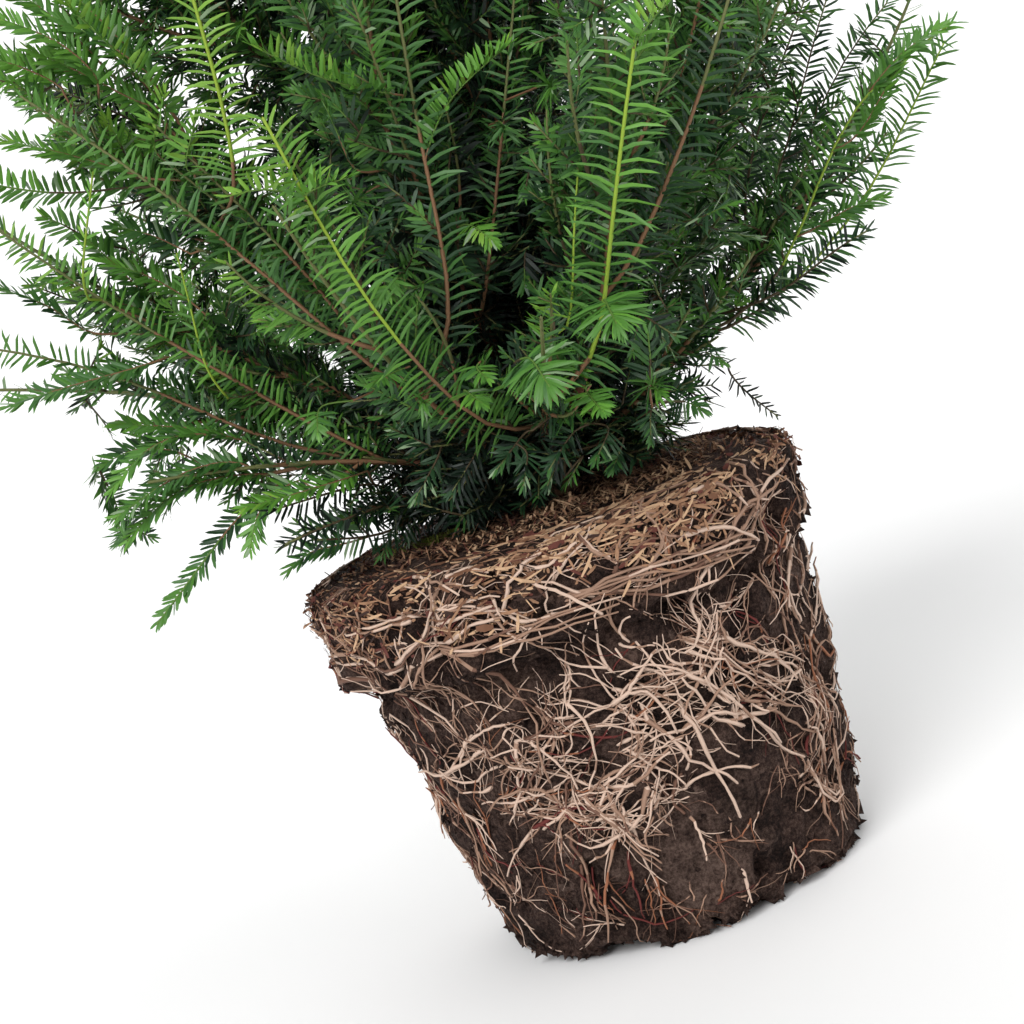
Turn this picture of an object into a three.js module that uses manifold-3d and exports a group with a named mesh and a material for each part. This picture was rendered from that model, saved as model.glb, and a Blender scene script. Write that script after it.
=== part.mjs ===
// A young English yew, bushy from the foot, standing on its bare root ball as it comes out of a
// ten-litre container. Millimetres, +Z up. The origin is the centre of the root ball's flat
// underside, the soil's top face is at SOIL_TOP, and -Y is the front.
//
// Each branch follows one rising arc. Its first stretch is a bare tapering bough, and the rest of
// the arc carries a plume of foliage. The trunk runs up through the crown into the top plume.

import * as THREE from "three";
import { mergeVertices } from "three/addons/utils/BufferGeometryUtils.js";
import Module from "manifold-3d";

const wasm = await Module();
wasm.setup();

// ---------------------------------------------------------------- driving dimensions

const BALL_DIAMETER = 274; // across the wide band that a 280 mm container's rim leaves
const BALL_HEIGHT = 224; // underside to the edge of the soil's top face
const BALL_FOOT_DIAMETER = 208;
const BALL_FOOT_ROUND = 9; // the worn edge round the underside
const BALL_LEAN = -4; // sideways travel of the ball's top against its underside
const BALL_UNEVEN = 0.013; // swell of its sides as a share of their radius
const COLLAR_HEIGHT = 46; // height of the wide band
const COLLAR_STEP = 9; // how far that band stands out
const COLLAR_EDGE = 5; // height over which it steps out
const COLLAR_BULGE = 14; // depth of its widest line under the soil's edge
const COLLAR_HEAVY = 8; // how much further the band stands out on its heavy side
const COLLAR_SAG = 9; // how much lower its edge hangs there
const HEAVY_HEADING = -160; // degrees
const SOIL_EDGE = 12; // width of the rounded edge of the soil's top face
const SOIL_MOUND = 4; // the soil's rise from its edge to the trunk
const MOUND_SHARE = 0.45; // of the top face's radius that is level with the trunk's foot
const CROWN_HEIGHT = 636; // soil to the highest tip

const TRUNK_RADIUS = 11; // just above the root flare
const TRUNK_TIP_RADIUS = 2.2;
const ROOT_FLARE = 7; // added to the trunk's radius at the soil
const FLARE_HEIGHT = 24;
const TRUNK_SHARE = 0.86; // of the crown's height that the trunk reaches
const TRUNK_LEAN = 14; // sideways travel of the trunk's tip
const TRUNK_TURN = 2.4; // how far that travel turns round on the way up, in radians
const TRUNK_UNEVEN = 0.05;
const TRUNK_TAPER = 0.85; // below one, the trunk thins soonest near its foot
const BOUGH_TIP_SHARE = 0.55; // a bough's radius where its foliage begins, against its foot
const BOUGH_SEAT = 0.4; // how deep into the trunk's radius a bough is set

const GAP = 0.35; // clearance kept between neighbouring solids
const SIMPLIFY = GAP / 4; // how far cut surfaces may move when their smallest facets are joined
const BALL_SEED = 2;
const TRUNK_SEED = 5;
const BALL_SIDES = 28;
const TRUNK_SIDES = 10;
const BOUGH_SIDES = 6;
const PLUME_SIDES = 8;
const TRUNK_STATIONS = 11;
const BOUGH_STATIONS = 4;
const PLUME_STATIONS = 7;
const ARC_STEPS = 24;
const FOOT_CROWDING = 1.6; // above one, the trunk's stations crowd towards its flare

const SOIL_TOP = BALL_HEIGHT + SOIL_MOUND;
const TRUNK_FOOT = SOIL_TOP + GAP;
const TRUNK_HEIGHT = CROWN_HEIGHT * TRUNK_SHARE;

// A branch. heading is the way it points, in degrees anticlockwise from +X seen from above. foot is
// the height above the soil at which it leaves the trunk. rise and finish are its slopes above the
// horizontal at the foot and at the tip, in degrees. reach is the arc's whole length, bare the share
// of it without foliage, girth the bough's radius at its foot, and plume the foliage's radius.
const branchOf = (heading, foot, rise, finish, reach, bare, girth, plume) => ({
  heading,
  foot,
  rise,
  finish,
  reach,
  bare,
  girth,
  plume,
});

const BRANCHES = {
  left_low: branchOf(178, 20, 36, 18, 318, 0.3, 4.6, 34),
  left_middle: branchOf(-172, 32, 30, 54, 318, 0.28, 4.4, 45),
  left_high: branchOf(-160, 56, 44, 58, 362, 0.27, 4.8, 50),
  left_front: branchOf(-162, 14, 30, 6, 254, 0.3, 3.8, 28),
  left_drooping: branchOf(-164, 10, 24, -24, 230, 0.36, 3, 13),
  front_left: branchOf(-114, 18, 18, 74, 310, 0.3, 4.6, 47),
  front_low: branchOf(-86, 26, 14, 26, 226, 0.3, 3.4, 38),
  front_middle: branchOf(-102, 66, 42, 90, 318, 0.26, 4.4, 48),
  front_upright: branchOf(-50, 92, 60, 80, 322, 0.24, 4.4, 48),
  front_right: branchOf(-64, 22, 22, 78, 334, 0.28, 4.6, 50),
  right_front_low: branchOf(-32, 12, 20, 36, 178, 0.34, 3.2, 25),
  right_front: branchOf(-36, 42, 36, 62, 342, 0.27, 4.6, 52),
  right_high: branchOf(-8, 64, 34, 54, 338, 0.28, 4.2, 50),
  right_low: branchOf(6, 18, 16, 50, 350, 0.28, 4.6, 32),
  back_right_low: branchOf(38, 22, 24, 42, 334, 0.27, 4.6, 56),
  back_right_high: branchOf(58, 76, 42, 66, 332, 0.26, 4.4, 54),
  back_low: branchOf(88, 18, 22, 44, 322, 0.27, 4.6, 56),
  back_high: branchOf(112, 80, 44, 68, 334, 0.26, 4.4, 54),
  back_left_low: branchOf(136, 20, 24, 40, 328, 0.27, 4.6, 56),
  back_left_high: branchOf(160, 72, 40, 62, 346, 0.26, 4.4, 54),
  upper_left: branchOf(-172, 190, 44, 72, 326, 0.2, 3.8, 58),
  upper_front: branchOf(-110, 200, 50, 76, 310, 0.2, 3.8, 52),
  upper_right: branchOf(-38, 208, 48, 74, 316, 0.2, 3.8, 54),
  upper_back_right: branchOf(34, 196, 48, 74, 318, 0.2, 3.8, 54),
  upper_back_left: branchOf(106, 204, 50, 76, 310, 0.2, 3.8, 54),
  top_left: branchOf(158, 336, 54, 82, 246, 0.16, 3, 44),
  top_front: branchOf(-82, 344, 54, 82, 236, 0.16, 3, 43),
  top_right: branchOf(32, 340, 54, 82, 242, 0.16, 3, 44),
};

const TOP_PLUME = { bare: 0.05, plume: 44 };
const TOP_PLUME_START = 0.82; // share of the trunk's length at which the top plume begins
const PLUME_UNEVEN = 0.24; // swell of a plume as a share of its radius
const PLUME_OVERRUN = 8; // how far a plume laps back over the end of its bough
const PLUME_FULLNESS = 0.55; // below one, a plume is blunt at both ends
const PLUME_BALANCE = 0.8; // below one, a plume is widest nearer its foot
const PLUME_ENDS = [0.05, 0.97]; // where on its rounded outline a plume starts and stops

// ---------------------------------------------------------------- materials

const paint = (color, roughness) => new THREE.MeshStandardMaterial({ color, roughness, metalness: 0 });
const soilPaint = () => paint(0x4a3a2f, 0.95);
const trunkPaint = () => paint(0x4a3327, 0.85);
const boughPaint = () => paint(0x6e4a36, 0.8);
const foliagePaint = () => paint(0x2f5a2a, 0.6);

// ---------------------------------------------------------------- shapes

const radians = THREE.MathUtils.degToRad;

// A slow, seeded swell from -1 to 1 round an angle and along a length, for uneven surfaces.
function swell(seed, angle, along) {
  return (
    0.5 * Math.sin(2 * angle + 3.1 * seed + 4.0 * along) +
    0.3 * Math.sin(3 * angle - 5.3 * seed + 7.0 * along) +
    0.2 * Math.sin(5 * angle + 1.7 * seed - 11.0 * along)
  );
}

// Evenly spaced shares from 0 to 1.
const evenly = (count) => Array.from({ length: count }, (_, i) => i / (count - 1));

// A closed skin round a curve, through rings at the given shares of its length. radiusAt(share,
// angle) is its radius. Both ends are closed by a fan to a point on the curve.
function loft(curve, places, sides, radiusAt) {
  const frames = curve.computeFrenetFrames(ARC_STEPS, false);
  const points = [];
  for (const share of places) {
    const k = share * ARC_STEPS;
    const low = Math.min(Math.floor(k), ARC_STEPS - 1);
    const mix = k - low;
    const across = frames.normals[low].clone().lerp(frames.normals[low + 1], mix).normalize();
    const over = frames.binormals[low].clone().lerp(frames.binormals[low + 1], mix).normalize();
    const centre = curve.getPointAt(share);
    for (let j = 0; j < sides; j++) {
      const angle = (2 * Math.PI * j) / sides;
      const r = radiusAt(share, angle);
      points.push(
        centre
          .clone()
          .addScaledVector(across, r * Math.cos(angle))
          .addScaledVector(over, r * Math.sin(angle)),
      );
    }
  }
  const start = points.push(curve.getPointAt(places[0])) - 1;
  const end = points.push(curve.getPointAt(places[places.length - 1])) - 1;
  const faces = [];
  for (let i = 0; i < places.length - 1; i++) {
    for (let j = 0; j < sides; j++) {
      const a = i * sides + j;
      const b = i * sides + ((j + 1) % sides);
      faces.push(a, b, b + sides, a, b + sides, a + sides);
    }
  }
  const last = (places.length - 1) * sides;
  for (let j = 0; j < sides; j++) {
    const next = (j + 1) % sides;
    faces.push(start, next, j);
    faces.push(end, last + j, last + next);
  }
  const geometry = new THREE.BufferGeometry().setFromPoints(points);
  geometry.setIndex(faces);
  return geometry;
}

// The arc of a branch, from the trunk's own line, as a curve through evenly spaced points.
function arcOf({ heading, foot, rise, finish, reach }, trunk) {
  const way = new THREE.Vector2(Math.cos(radians(heading)), Math.sin(radians(heading)));
  const at = trunk.getPointAt(foot / TRUNK_HEIGHT);
  const points = [at.clone()];
  for (let i = 0; i < ARC_STEPS; i++) {
    const slope = radians(rise + ((finish - rise) * (i + 0.5)) / ARC_STEPS);
    const step = reach / ARC_STEPS;
    at.x += way.x * Math.cos(slope) * step;
    at.y += way.y * Math.cos(slope) * step;
    at.z += Math.sin(slope) * step;
    points.push(at.clone());
  }
  return new THREE.CatmullRomCurve3(points);
}

// The stretch of a curve between two shares of its length, run on straight past each end by extra.
function stretch(curve, from, to, extra = 0) {
  const points = [];
  for (let i = 0; i <= ARC_STEPS; i++) {
    points.push(curve.getPointAt(Math.min(THREE.MathUtils.lerp(from, to, i / ARC_STEPS), 1)));
  }
  points[0].addScaledVector(curve.getTangentAt(from), -extra);
  points[ARC_STEPS].addScaledVector(curve.getTangentAt(to), extra);
  return new THREE.CatmullRomCurve3(points);
}

// ---------------------------------------------------------------- solids

function solidOf(geometry) {
  const bare = new THREE.BufferGeometry();
  bare.setAttribute("position", geometry.getAttribute("position"));
  bare.setIndex(geometry.getIndex());
  const merged = mergeVertices(bare, 1e-3);
  return new wasm.Manifold(
    new wasm.Mesh({
      numProp: 3,
      vertProperties: new Float32Array(merged.attributes.position.array),
      triVerts: new Uint32Array(merged.index.array),
    }),
  );
}

function geometryOf(solid) {
  const mesh = solid.getMesh();
  const geometry = new THREE.BufferGeometry();
  geometry.setAttribute("position", new THREE.BufferAttribute(new Float32Array(mesh.vertProperties), 3));
  geometry.setIndex(new THREE.BufferAttribute(new Uint32Array(mesh.triVerts), 1));
  return geometry;
}

// The largest body of a solid that cutting may have split.
function largestOf(solid) {
  const bodies = solid.decompose();
  return bodies.reduce((best, body) => (body.volume() > best.volume() ? body : best));
}

function rootBall() {
  const top = BALL_DIAMETER / 2;
  const foot = BALL_FOOT_DIAMETER / 2;
  const shoulder = BALL_HEIGHT - COLLAR_HEIGHT;
  const neck = top - COLLAR_STEP;
  const sideAt = (z) => THREE.MathUtils.lerp(foot, neck, z / shoulder);
  const profile = [
    [0, 0],
    [foot - BALL_FOOT_ROUND / 2, 0],
    [sideAt(BALL_FOOT_ROUND), BALL_FOOT_ROUND],
    [sideAt(shoulder / 3), shoulder / 3],
    [sideAt((shoulder * 2) / 3), (shoulder * 2) / 3],
    [neck, shoulder - COLLAR_EDGE],
    [top - COLLAR_STEP / 4, shoulder],
    [top, BALL_HEIGHT - COLLAR_BULGE],
    [top - SOIL_EDGE / 4, BALL_HEIGHT - SOIL_EDGE / 4],
    [top - SOIL_EDGE, BALL_HEIGHT],
    [top * MOUND_SHARE, SOIL_TOP],
    [0, SOIL_TOP],
  ].map(([r, z]) => new THREE.Vector2(r, z));
  const geometry = new THREE.LatheGeometry(profile, BALL_SIDES);
  geometry.rotateX(Math.PI / 2);
  const place = geometry.getAttribute("position");
  for (let i = 0; i < place.count; i++) {
    const [x, y, z] = [place.getX(i), place.getY(i), place.getZ(i)];
    const angle = Math.atan2(y, x);
    const heavy = Math.max(0, Math.cos(angle - THREE.MathUtils.degToRad(HEAVY_HEADING))) ** 2;
    const band = THREE.MathUtils.clamp((z - shoulder) / COLLAR_EDGE + 1, 0, 1);
    const hang = Math.max(0, 1 - Math.abs(z - shoulder) / (COLLAR_HEIGHT - COLLAR_BULGE));
    const swollen = 1 + BALL_UNEVEN * swell(BALL_SEED, angle, z / BALL_HEIGHT);
    const uneven = swollen + (COLLAR_HEAVY * heavy * band) / top;
    const lean = (BALL_LEAN * z) / BALL_HEIGHT;
    place.setXYZ(i, x * uneven + lean, y * uneven, z - COLLAR_SAG * heavy * hang);
  }
  return geometry;
}

function trunkLine() {
  const points = [];
  for (let i = 0; i <= ARC_STEPS; i++) {
    const share = i / ARC_STEPS;
    const x = TRUNK_LEAN * share * Math.cos(TRUNK_TURN * share);
    const y = TRUNK_LEAN * share * Math.sin(TRUNK_TURN * share);
    const z = THREE.MathUtils.lerp(BALL_HEIGHT, SOIL_TOP + TRUNK_HEIGHT, share);
    points.push(new THREE.Vector3(x, y, z));
  }
  return new THREE.CatmullRomCurve3(points);
}

// The middle of the top plume, from the trunk's upper part straight up to the highest tip.
function topLine(line) {
  const from = line.getPointAt(TOP_PLUME_START);
  const to = line.getPointAt(1).setZ(SOIL_TOP + CROWN_HEIGHT);
  return new THREE.CatmullRomCurve3(evenly(ARC_STEPS).map((share) => from.clone().lerp(to, share)));
}

const trunkRadius = (share) =>
  THREE.MathUtils.lerp(TRUNK_RADIUS, TRUNK_TIP_RADIUS, Math.pow(share, TRUNK_TAPER)) +
  ROOT_FLARE * Math.exp((-share * TRUNK_HEIGHT) / (FLARE_HEIGHT / 2));

function trunkSkin(line, extra) {
  const shares = evenly(TRUNK_STATIONS).map((share) => Math.pow(share, FOOT_CROWDING));
  const radiusAt = (share, angle) =>
    extra + trunkRadius(share) * (1 + TRUNK_UNEVEN * swell(TRUNK_SEED, angle, share));
  return loft(line, shares, TRUNK_SIDES, radiusAt);
}

function boughSkin(arc, { girth, bare }, trunkShare, extra) {
  const inside = (trunkRadius(trunkShare) * BOUGH_SEAT) / arc.getLength();
  const line = stretch(arc, inside, bare, extra);
  const radiusAt = (share) => extra + girth * THREE.MathUtils.lerp(1, BOUGH_TIP_SHARE, share);
  return loft(line, evenly(BOUGH_STATIONS), BOUGH_SIDES, radiusAt);
}

// A plume is slender where the bough enters it, widest past its middle, and blunt at its tip.
function plumeSkin(arc, { bare, plume }, seed, extra) {
  const line = stretch(arc, bare - PLUME_OVERRUN / arc.getLength(), 1, extra);
  const radiusAt = (share, angle) => {
    const along = THREE.MathUtils.lerp(...PLUME_ENDS, share);
    const body = Math.pow(Math.sin(Math.PI * Math.pow(along, PLUME_BALANCE)), PLUME_FULLNESS);
    return extra + plume * body * (1 + PLUME_UNEVEN * swell(seed, angle, share));
  };
  return loft(line, evenly(PLUME_STATIONS), PLUME_SIDES, radiusAt);
}

// ---------------------------------------------------------------- assembly

function nodeOf(name, solid, foot, material) {
  const geometry = geometryOf(solid);
  geometry.translate(-foot.x, -foot.y, -foot.z);
  geometry.computeVertexNormals();
  const mesh = new THREE.Mesh(geometry, material);
  mesh.name = name;
  mesh.position.copy(foot);
  return mesh;
}

const touches = (a, b) => {
  const [p, q] = [a.boundingBox(), b.boundingBox()];
  return [0, 1, 2].every((k) => p.min[k] <= q.max[k] && q.min[k] <= p.max[k]);
};

// Cuts a solid back from every one of the others that it could touch.
const cutBack = (solid, others) =>
  largestOf(
    others.filter((other) => touches(solid, other)).reduce((left, other) => left.subtract(other), solid),
  ).simplify(SIMPLIFY);

function buildPlant() {
  const plant = new THREE.Group();
  const limbs = new THREE.Group();
  const foliage = new THREE.Group();
  plant.add(limbs, foliage);

  plant.add(nodeOf("root_ball", solidOf(rootBall()), new THREE.Vector3(0, 0, 0), soilPaint()));

  const line = trunkLine();
  const trunk = solidOf(trunkSkin(line, 0)).trimByPlane([0, 0, 1], TRUNK_FOOT);
  limbs.add(nodeOf("trunk", trunk, new THREE.Vector3(0, 0, TRUNK_FOOT), trunkPaint()));

  // Limbs, each cut back from the trunk and from the boughs before it.
  const cutters = [solidOf(trunkSkin(line, GAP))];
  for (const [name, branch] of Object.entries(BRANCHES)) {
    const arc = arcOf(branch, line);
    const share = branch.foot / TRUNK_HEIGHT;
    const bough = cutBack(solidOf(boughSkin(arc, branch, share, 0)), cutters);
    limbs.add(nodeOf("bough_" + name, bough, arc.getPointAt(0), boughPaint()));
    cutters.push(solidOf(boughSkin(arc, branch, share, GAP)));
  }

  // Foliage, each mass cut back from the limbs and from the masses before it.
  const plumes = Object.entries(BRANCHES).map(([name, branch]) => [name, branch, arcOf(branch, line)]);
  plumes.push(["top", TOP_PLUME, topLine(line)]);
  const soil = solidOf(rootBall()).translate([0, 0, GAP]);
  plumes.forEach(([name, branch, arc], seed) => {
    const mass = cutBack(solidOf(plumeSkin(arc, branch, seed, 0)), [soil, ...cutters]);
    foliage.add(nodeOf("foliage_" + name, mass, arc.getPointAt(branch.bare), foliagePaint()));
    cutters.push(solidOf(plumeSkin(arc, branch, seed, GAP)));
  });
  return plant;
}

export default buildPlant();
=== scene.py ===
"""A young English yew standing on its bare root ball: bark, shoots, needles, soil and roots."""

import itertools
import math
from collections import namedtuple

import bpy
import numpy as np
from mathutils import Matrix, Vector
from mathutils.bvhtree import BVHTree
from mathutils.kdtree import KDTree


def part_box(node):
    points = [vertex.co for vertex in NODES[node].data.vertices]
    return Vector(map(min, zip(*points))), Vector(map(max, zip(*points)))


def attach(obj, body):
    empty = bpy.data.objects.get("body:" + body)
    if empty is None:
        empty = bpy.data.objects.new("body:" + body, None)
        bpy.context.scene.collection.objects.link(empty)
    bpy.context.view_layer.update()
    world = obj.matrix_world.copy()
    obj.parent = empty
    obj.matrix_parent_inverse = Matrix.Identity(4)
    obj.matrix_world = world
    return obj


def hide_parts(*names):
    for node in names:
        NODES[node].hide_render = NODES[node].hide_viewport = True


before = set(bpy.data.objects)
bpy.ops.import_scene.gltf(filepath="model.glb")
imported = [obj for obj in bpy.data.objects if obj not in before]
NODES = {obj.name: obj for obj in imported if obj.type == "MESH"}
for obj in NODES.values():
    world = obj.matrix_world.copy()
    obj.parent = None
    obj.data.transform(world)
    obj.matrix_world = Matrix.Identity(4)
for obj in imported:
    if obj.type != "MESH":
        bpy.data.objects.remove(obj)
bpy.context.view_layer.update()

MM = 0.001
UP = np.array([0.0, 0.0, 1.0])
rng = np.random.default_rng(41)

BOUGHS = sorted(n for n in NODES if n.startswith("bough_"))
MASSES = sorted(n for n in NODES if n.startswith("foliage_"))

# ---------------------------------------------------------------- the photograph's camera

CAMERA_RISE = 6.93  # degrees above the horizon
CAMERA_ROLL = -19.48  # degrees: the plant leans over in the frame
CAMERA_AWAY = 1.0
CAMERA_LENS = 63.9  # on a 36 mm sensor
CAMERA_AIM = np.array([-0.024, 0.0, 0.2267])
CAMERA_BACK = np.array([0.0, -math.cos(math.radians(CAMERA_RISE)), math.sin(math.radians(CAMERA_RISE))])
EYE = CAMERA_AIM + CAMERA_AWAY * CAMERA_BACK

# ---------------------------------------------------------------- colours, as sRGB

NEEDLE_COLOURS = {
    "needle_lime": (112, 154, 54),
    "needle_fresh": (88, 138, 48),
    "needle_green": (72, 118, 45),
    "needle_deep": (58, 100, 45),
    "needle_dark": (34, 64, 36),
    "needle_shade": (11, 28, 17),
    "needle_underside": (124, 148, 112),
}
TWIG_COLOURS = {
    "twig_lime": (134, 160, 52),
    "twig_green": (88, 118, 50),
    "twig_olive": (98, 102, 60),
    "twig_russet": (124, 92, 66),
    "twig_brown": (76, 64, 44),
}
ROOT_COLOURS = {
    "root_cream": (202, 175, 157),
    "root_tan": (152, 121, 102),
    "root_brown": (108, 78, 64),
    "root_rust": (142, 92, 66),
    "root_red": (96, 40, 36),
}
MULCH_COLOURS = {
    "shred_straw": (188, 154, 122),
    "shred_tan": (148, 112, 86),
    "shred_brown": (112, 78, 58),
    "shred_dark": (54, 36, 30),
    "shred_red": (92, 50, 42),
    "moss": (112, 122, 52),
}

# ---------------------------------------------------------------- shoots that the photograph shows

# style, then points from foot to tip in mm
LEADERS = {
    "front_left": ("hero", (-19, -95, 265), (-56, -160, 356), (-69, -185, 448)),
    "left_red": ("stem", (-51, -70, 299), (-87, -110, 369), (-128, -112, 441), (-178, -105, 505)),
    "left_red_back": ("stem", (-59, -50, 315), (-79, -78, 382), (-101, -85, 428), (-127, -80, 478)),
    "left_top": ("hero", (-95, -110, 428), (-87, -125, 469), (-83, -135, 519)),
    "hero_comb_a": ("bright", (-69, -176, 415), (-82, -180, 421), (-96, -180, 422)),
    "hero_comb_b": ("bright", (-68, -178, 411), (-55, -182, 413), (-43, -184, 412)),
    "left_middle": ("stem", (-82, -20, 278), (-131, -45, 338), (-185, -55, 405), (-223, -60, 459)),
    "left_low": (
        "stem", (-73, -10, 272), (-133, -30, 304), (-177, -40, 357),
        (-225, -45, 392), (-258, -45, 407)
    ),
    "front_up": ("tall", (-19, -110, 320), (-13, -122, 374), (-5, -130, 434), (10, -135, 515)),
    "front_red": ("stem", (-4, -85, 335), (23, -90, 393), (77, -95, 511)),
    "front_lime": (
        "lime", (37, -112, 286), (43, -136, 306), (50, -158, 328),
        (66, -182, 368), (84, -195, 407), (101, -190, 439)
    ),
    "front_thin": ("sprig", (31, -130, 313), (46, -150, 359), (61, -155, 394)),
    "right_red": ("tall", (60, -110, 320), (92, -140, 362), (120, -150, 395), (170, -150, 467)),
    "right_lime": (
        "right", (133, 0, 277), (153, -5, 293), (179, -10, 325),
        (202, -10, 359), (226, -10, 382), (254, -10, 391), (285, -10, 397)
    ),
    "right_far": (
        "right", (123, 10, 272), (168, 10, 294), (209, 10, 316),
        (238, 10, 340), (262, 10, 371), (284, 10, 390)
    ),
    "right_thin": ("dark", (157, 40, 298), (214, 50, 379), (242, 50, 407), (273, 55, 423)),
    "right_dark_a": ("dark", (148, 40, 331), (190, 50, 397), (213, 50, 419), (232, 55, 444)),
    "right_dark_b": ("dark", (145, 20, 314), (198, 30, 376), (212, 30, 404), (236, 30, 436)),
    "left_flat": ("comb", (-138, -80, 450), (-148, -82, 460), (-172, -80, 477), (-202, -78, 495)),
    "left_comb": ("bright", (-112, -95, 473), (-130, -100, 514), (-148, -110, 548)),
    "left_corner": ("comb", (-141, -70, 502), (-155, -75, 529), (-182, -80, 550)),
    "left_corner_b": ("comb", (-160, -60, 506), (-178, -62, 525), (-201, -65, 540)),
    "left_corner_c": ("comb", (-116, -62, 494), (-136, -66, 524), (-157, -68, 543)),
    "left_corner_d": ("comb", (-128, -58, 486), (-150, -60, 511), (-173, -62, 532)),
    "left_corner_e": ("stem", (-112, -40, 477), (-139, -46, 520), (-153, -50, 550)),
    "left_corner_f": ("comb", (-122, -52, 505), (-137, -56, 539), (-151, -58, 564)),
    "left_corner_g": ("comb", (-144, -58, 520), (-159, -60, 548), (-175, -62, 568)),
    "left_corner_h": ("comb", (-158, -50, 516), (-177, -52, 529), (-197, -54, 536)),
    "left_tuft": ("bright", (-120, -100, 446), (-103, -112, 467)),
    "left_tuft_b": ("bright", (-131, -90, 463), (-113, -100, 486)),
    "left_dark": ("dark", (-111, -20, 452), (-143, -20, 493), (-179, -20, 521)),
    "top_comb": ("bright", (-11, -135, 444), (-41, -145, 461), (-66, -150, 486)),
    "front_feather": ("comb", (-42, -135, 416), (-41, -140, 435), (-43, -145, 453)),
    "front_fork": ("bright", (-6, -128, 417), (13, -132, 436), (47, -135, 449)),
    "front_tuft": ("fanlet", (-37, -140, 366), (-50, -152, 358)),
    "front_tuft_b": ("fanlet", (3, -108, 379), (11, -120, 366)),
    "left_thin": ("sprig", (-189, -75, 414), (-174, -85, 439), (-160, -95, 462)),
    "left_fill_a": ("comb", (-144, -38, 391), (-159, -42, 410), (-178, -46, 424)),
    "left_fill_b": ("comb", (-155, -30, 378), (-171, -34, 397), (-192, -38, 410)),
    "left_fill_c": ("comb", (-137, -42, 415), (-151, -46, 430), (-167, -50, 439)),
    "left_fill_d": ("comb", (-166, -24, 399), (-177, -28, 424), (-186, -30, 441)),
    "left_sprig": ("sprig", (-146, -75, 354), (-141, -80, 380), (-137, -85, 413)),
    "left_edge": ("broad", (-140, -60, 452), (-183, -58, 460), (-212, -58, 475), (-227, -58, 485)),
    "left_lime": ("comb", (-197, -60, 389), (-205, -70, 410), (-233, -75, 431)),
    "left_comb_low": ("comb", (-174, -50, 367), (-209, -60, 370), (-250, -65, 371)),
    "left_fan_a": ("comb", (-145, -40, 315), (-167, -50, 329), (-190, -58, 329), (-213, -62, 313)),
    "left_fan_b": ("comb", (-143, -45, 306), (-174, -55, 311), (-195, -60, 306), (-217, -65, 299)),
    "left_fan_c": ("comb", (-140, -40, 296), (-170, -52, 303), (-191, -56, 301), (-215, -60, 286)),
    "left_fan_d": ("comb", (-154, -35, 323), (-178, -38, 334), (-203, -40, 344)),
    "left_fan_e": ("comb", (-178, -30, 320), (-199, -32, 330), (-221, -35, 326)),
    "droop": ("droop", (-129, -30, 286), (-157, -38, 281), (-184, -46, 262), (-217, -55, 240)),
    "hang": ("comb", (-122, -40, 287), (-148, -45, 280), (-159, -50, 260)),
    "hang_low": ("comb", (-113, -40, 245), (-133, -42, 249), (-145, -45, 242)),
    "low_left_a": ("dark", (-81, -40, 271), (-109, -60, 275), (-141, -70, 277)),
    "low_left_b": ("dark", (-77, -50, 258), (-108, -72, 261), (-137, -85, 260)),
    "low_left_c": ("comb", (-85, -55, 278), (-122, -75, 281), (-150, -85, 284)),
    "soil_left": ("dark", (-72, -30, 243), (-96, -50, 244), (-125, -70, 256)),
    "top_fan": ("bright", (89, -195, 422), (102, -195, 431), (125, -190, 442)),
    "fan_droop": ("fan", (48, -162, 325), (47, -190, 313)),
    "fan_centre": ("fan", (7, -165, 313), (10, -194, 297)),
    "fan_right": ("fanlet", (25, -160, 291), (29, -188, 278)),
    "fan_low": ("fanlet", (-18, -132, 314), (-14, -148, 307)),
    "fan_left": ("fanlet", (-27, -128, 307), (-20, -148, 297)),
    "fan_left_b": ("fanlet", (-51, -122, 324), (-66, -142, 323)),
    "fan_left_c": ("fanlet", (-97, -96, 321), (-100, -110, 308)),
    "fan_right_up": ("dull", (100, -135, 344), (119, -158, 346)),
    "fan_right_low": ("dull", (95, -70, 281), (101, -84, 273)),
    "fan_soil": ("dull", (72, -92, 265), (81, -108, 256)),
    "fringe_a": ("fringe", (-2, -110, 277), (-24, -128, 264)),
    "fringe_b": ("fringe", (18, -115, 269), (-1, -135, 256)),
    "fringe_c": ("fringe", (36, -118, 265), (21, -138, 253)),
    "fringe_d": ("fringe", (-25, -98, 277), (-48, -116, 260)),
    "fringe_e": ("fringe", (57, -112, 269), (50, -130, 253)),
    "fringe_f": ("fringe", (-48, -90, 277), (-67, -104, 261)),
    "fringe_g": ("fringe", (-6, -118, 267), (-15, -136, 253)),
    "fringe_h": ("fringe", (21, -112, 257), (6, -122, 246)),
    "fringe_i": ("fringe", (9, -108, 259), (-4, -118, 247)),
    "fringe_j": ("fringe", (41, -110, 257), (29, -122, 245)),
    "tuft_a": ("tuft", (59, -120, 280), (59, -150, 275)),
    "tuft_b": ("tuft", (60, -118, 428), (58, -148, 422)),
    "tuft_c": ("tuft", (-44, -120, 406), (-47, -145, 403)),
    "tuft_d": ("tuft", (33, -110, 420), (32, -135, 413)),
    "tuft_e": ("tuft", (117, -110, 386), (117, -140, 381)),
    "tuft_f": ("tuft", (-48, -118, 310), (-46, -140, 306)),
    "right_low_comb": ("dark", (135, -8, 289), (165, -10, 294), (188, -15, 306), (205, -20, 308)),
    "right_twig": ("bare", (117, 30, 257), (123, 30, 243), (136, 30, 224)),
    "right_tip": ("comb", (230, -12, 377), (252, -14, 391), (278, -16, 397)),
    "right_tip_b": ("comb", (217, -12, 355), (235, -16, 373), (251, -18, 387)),
    "right_side": ("comb", (179, -8, 317), (202, -12, 323), (220, -16, 322)),
}

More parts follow.
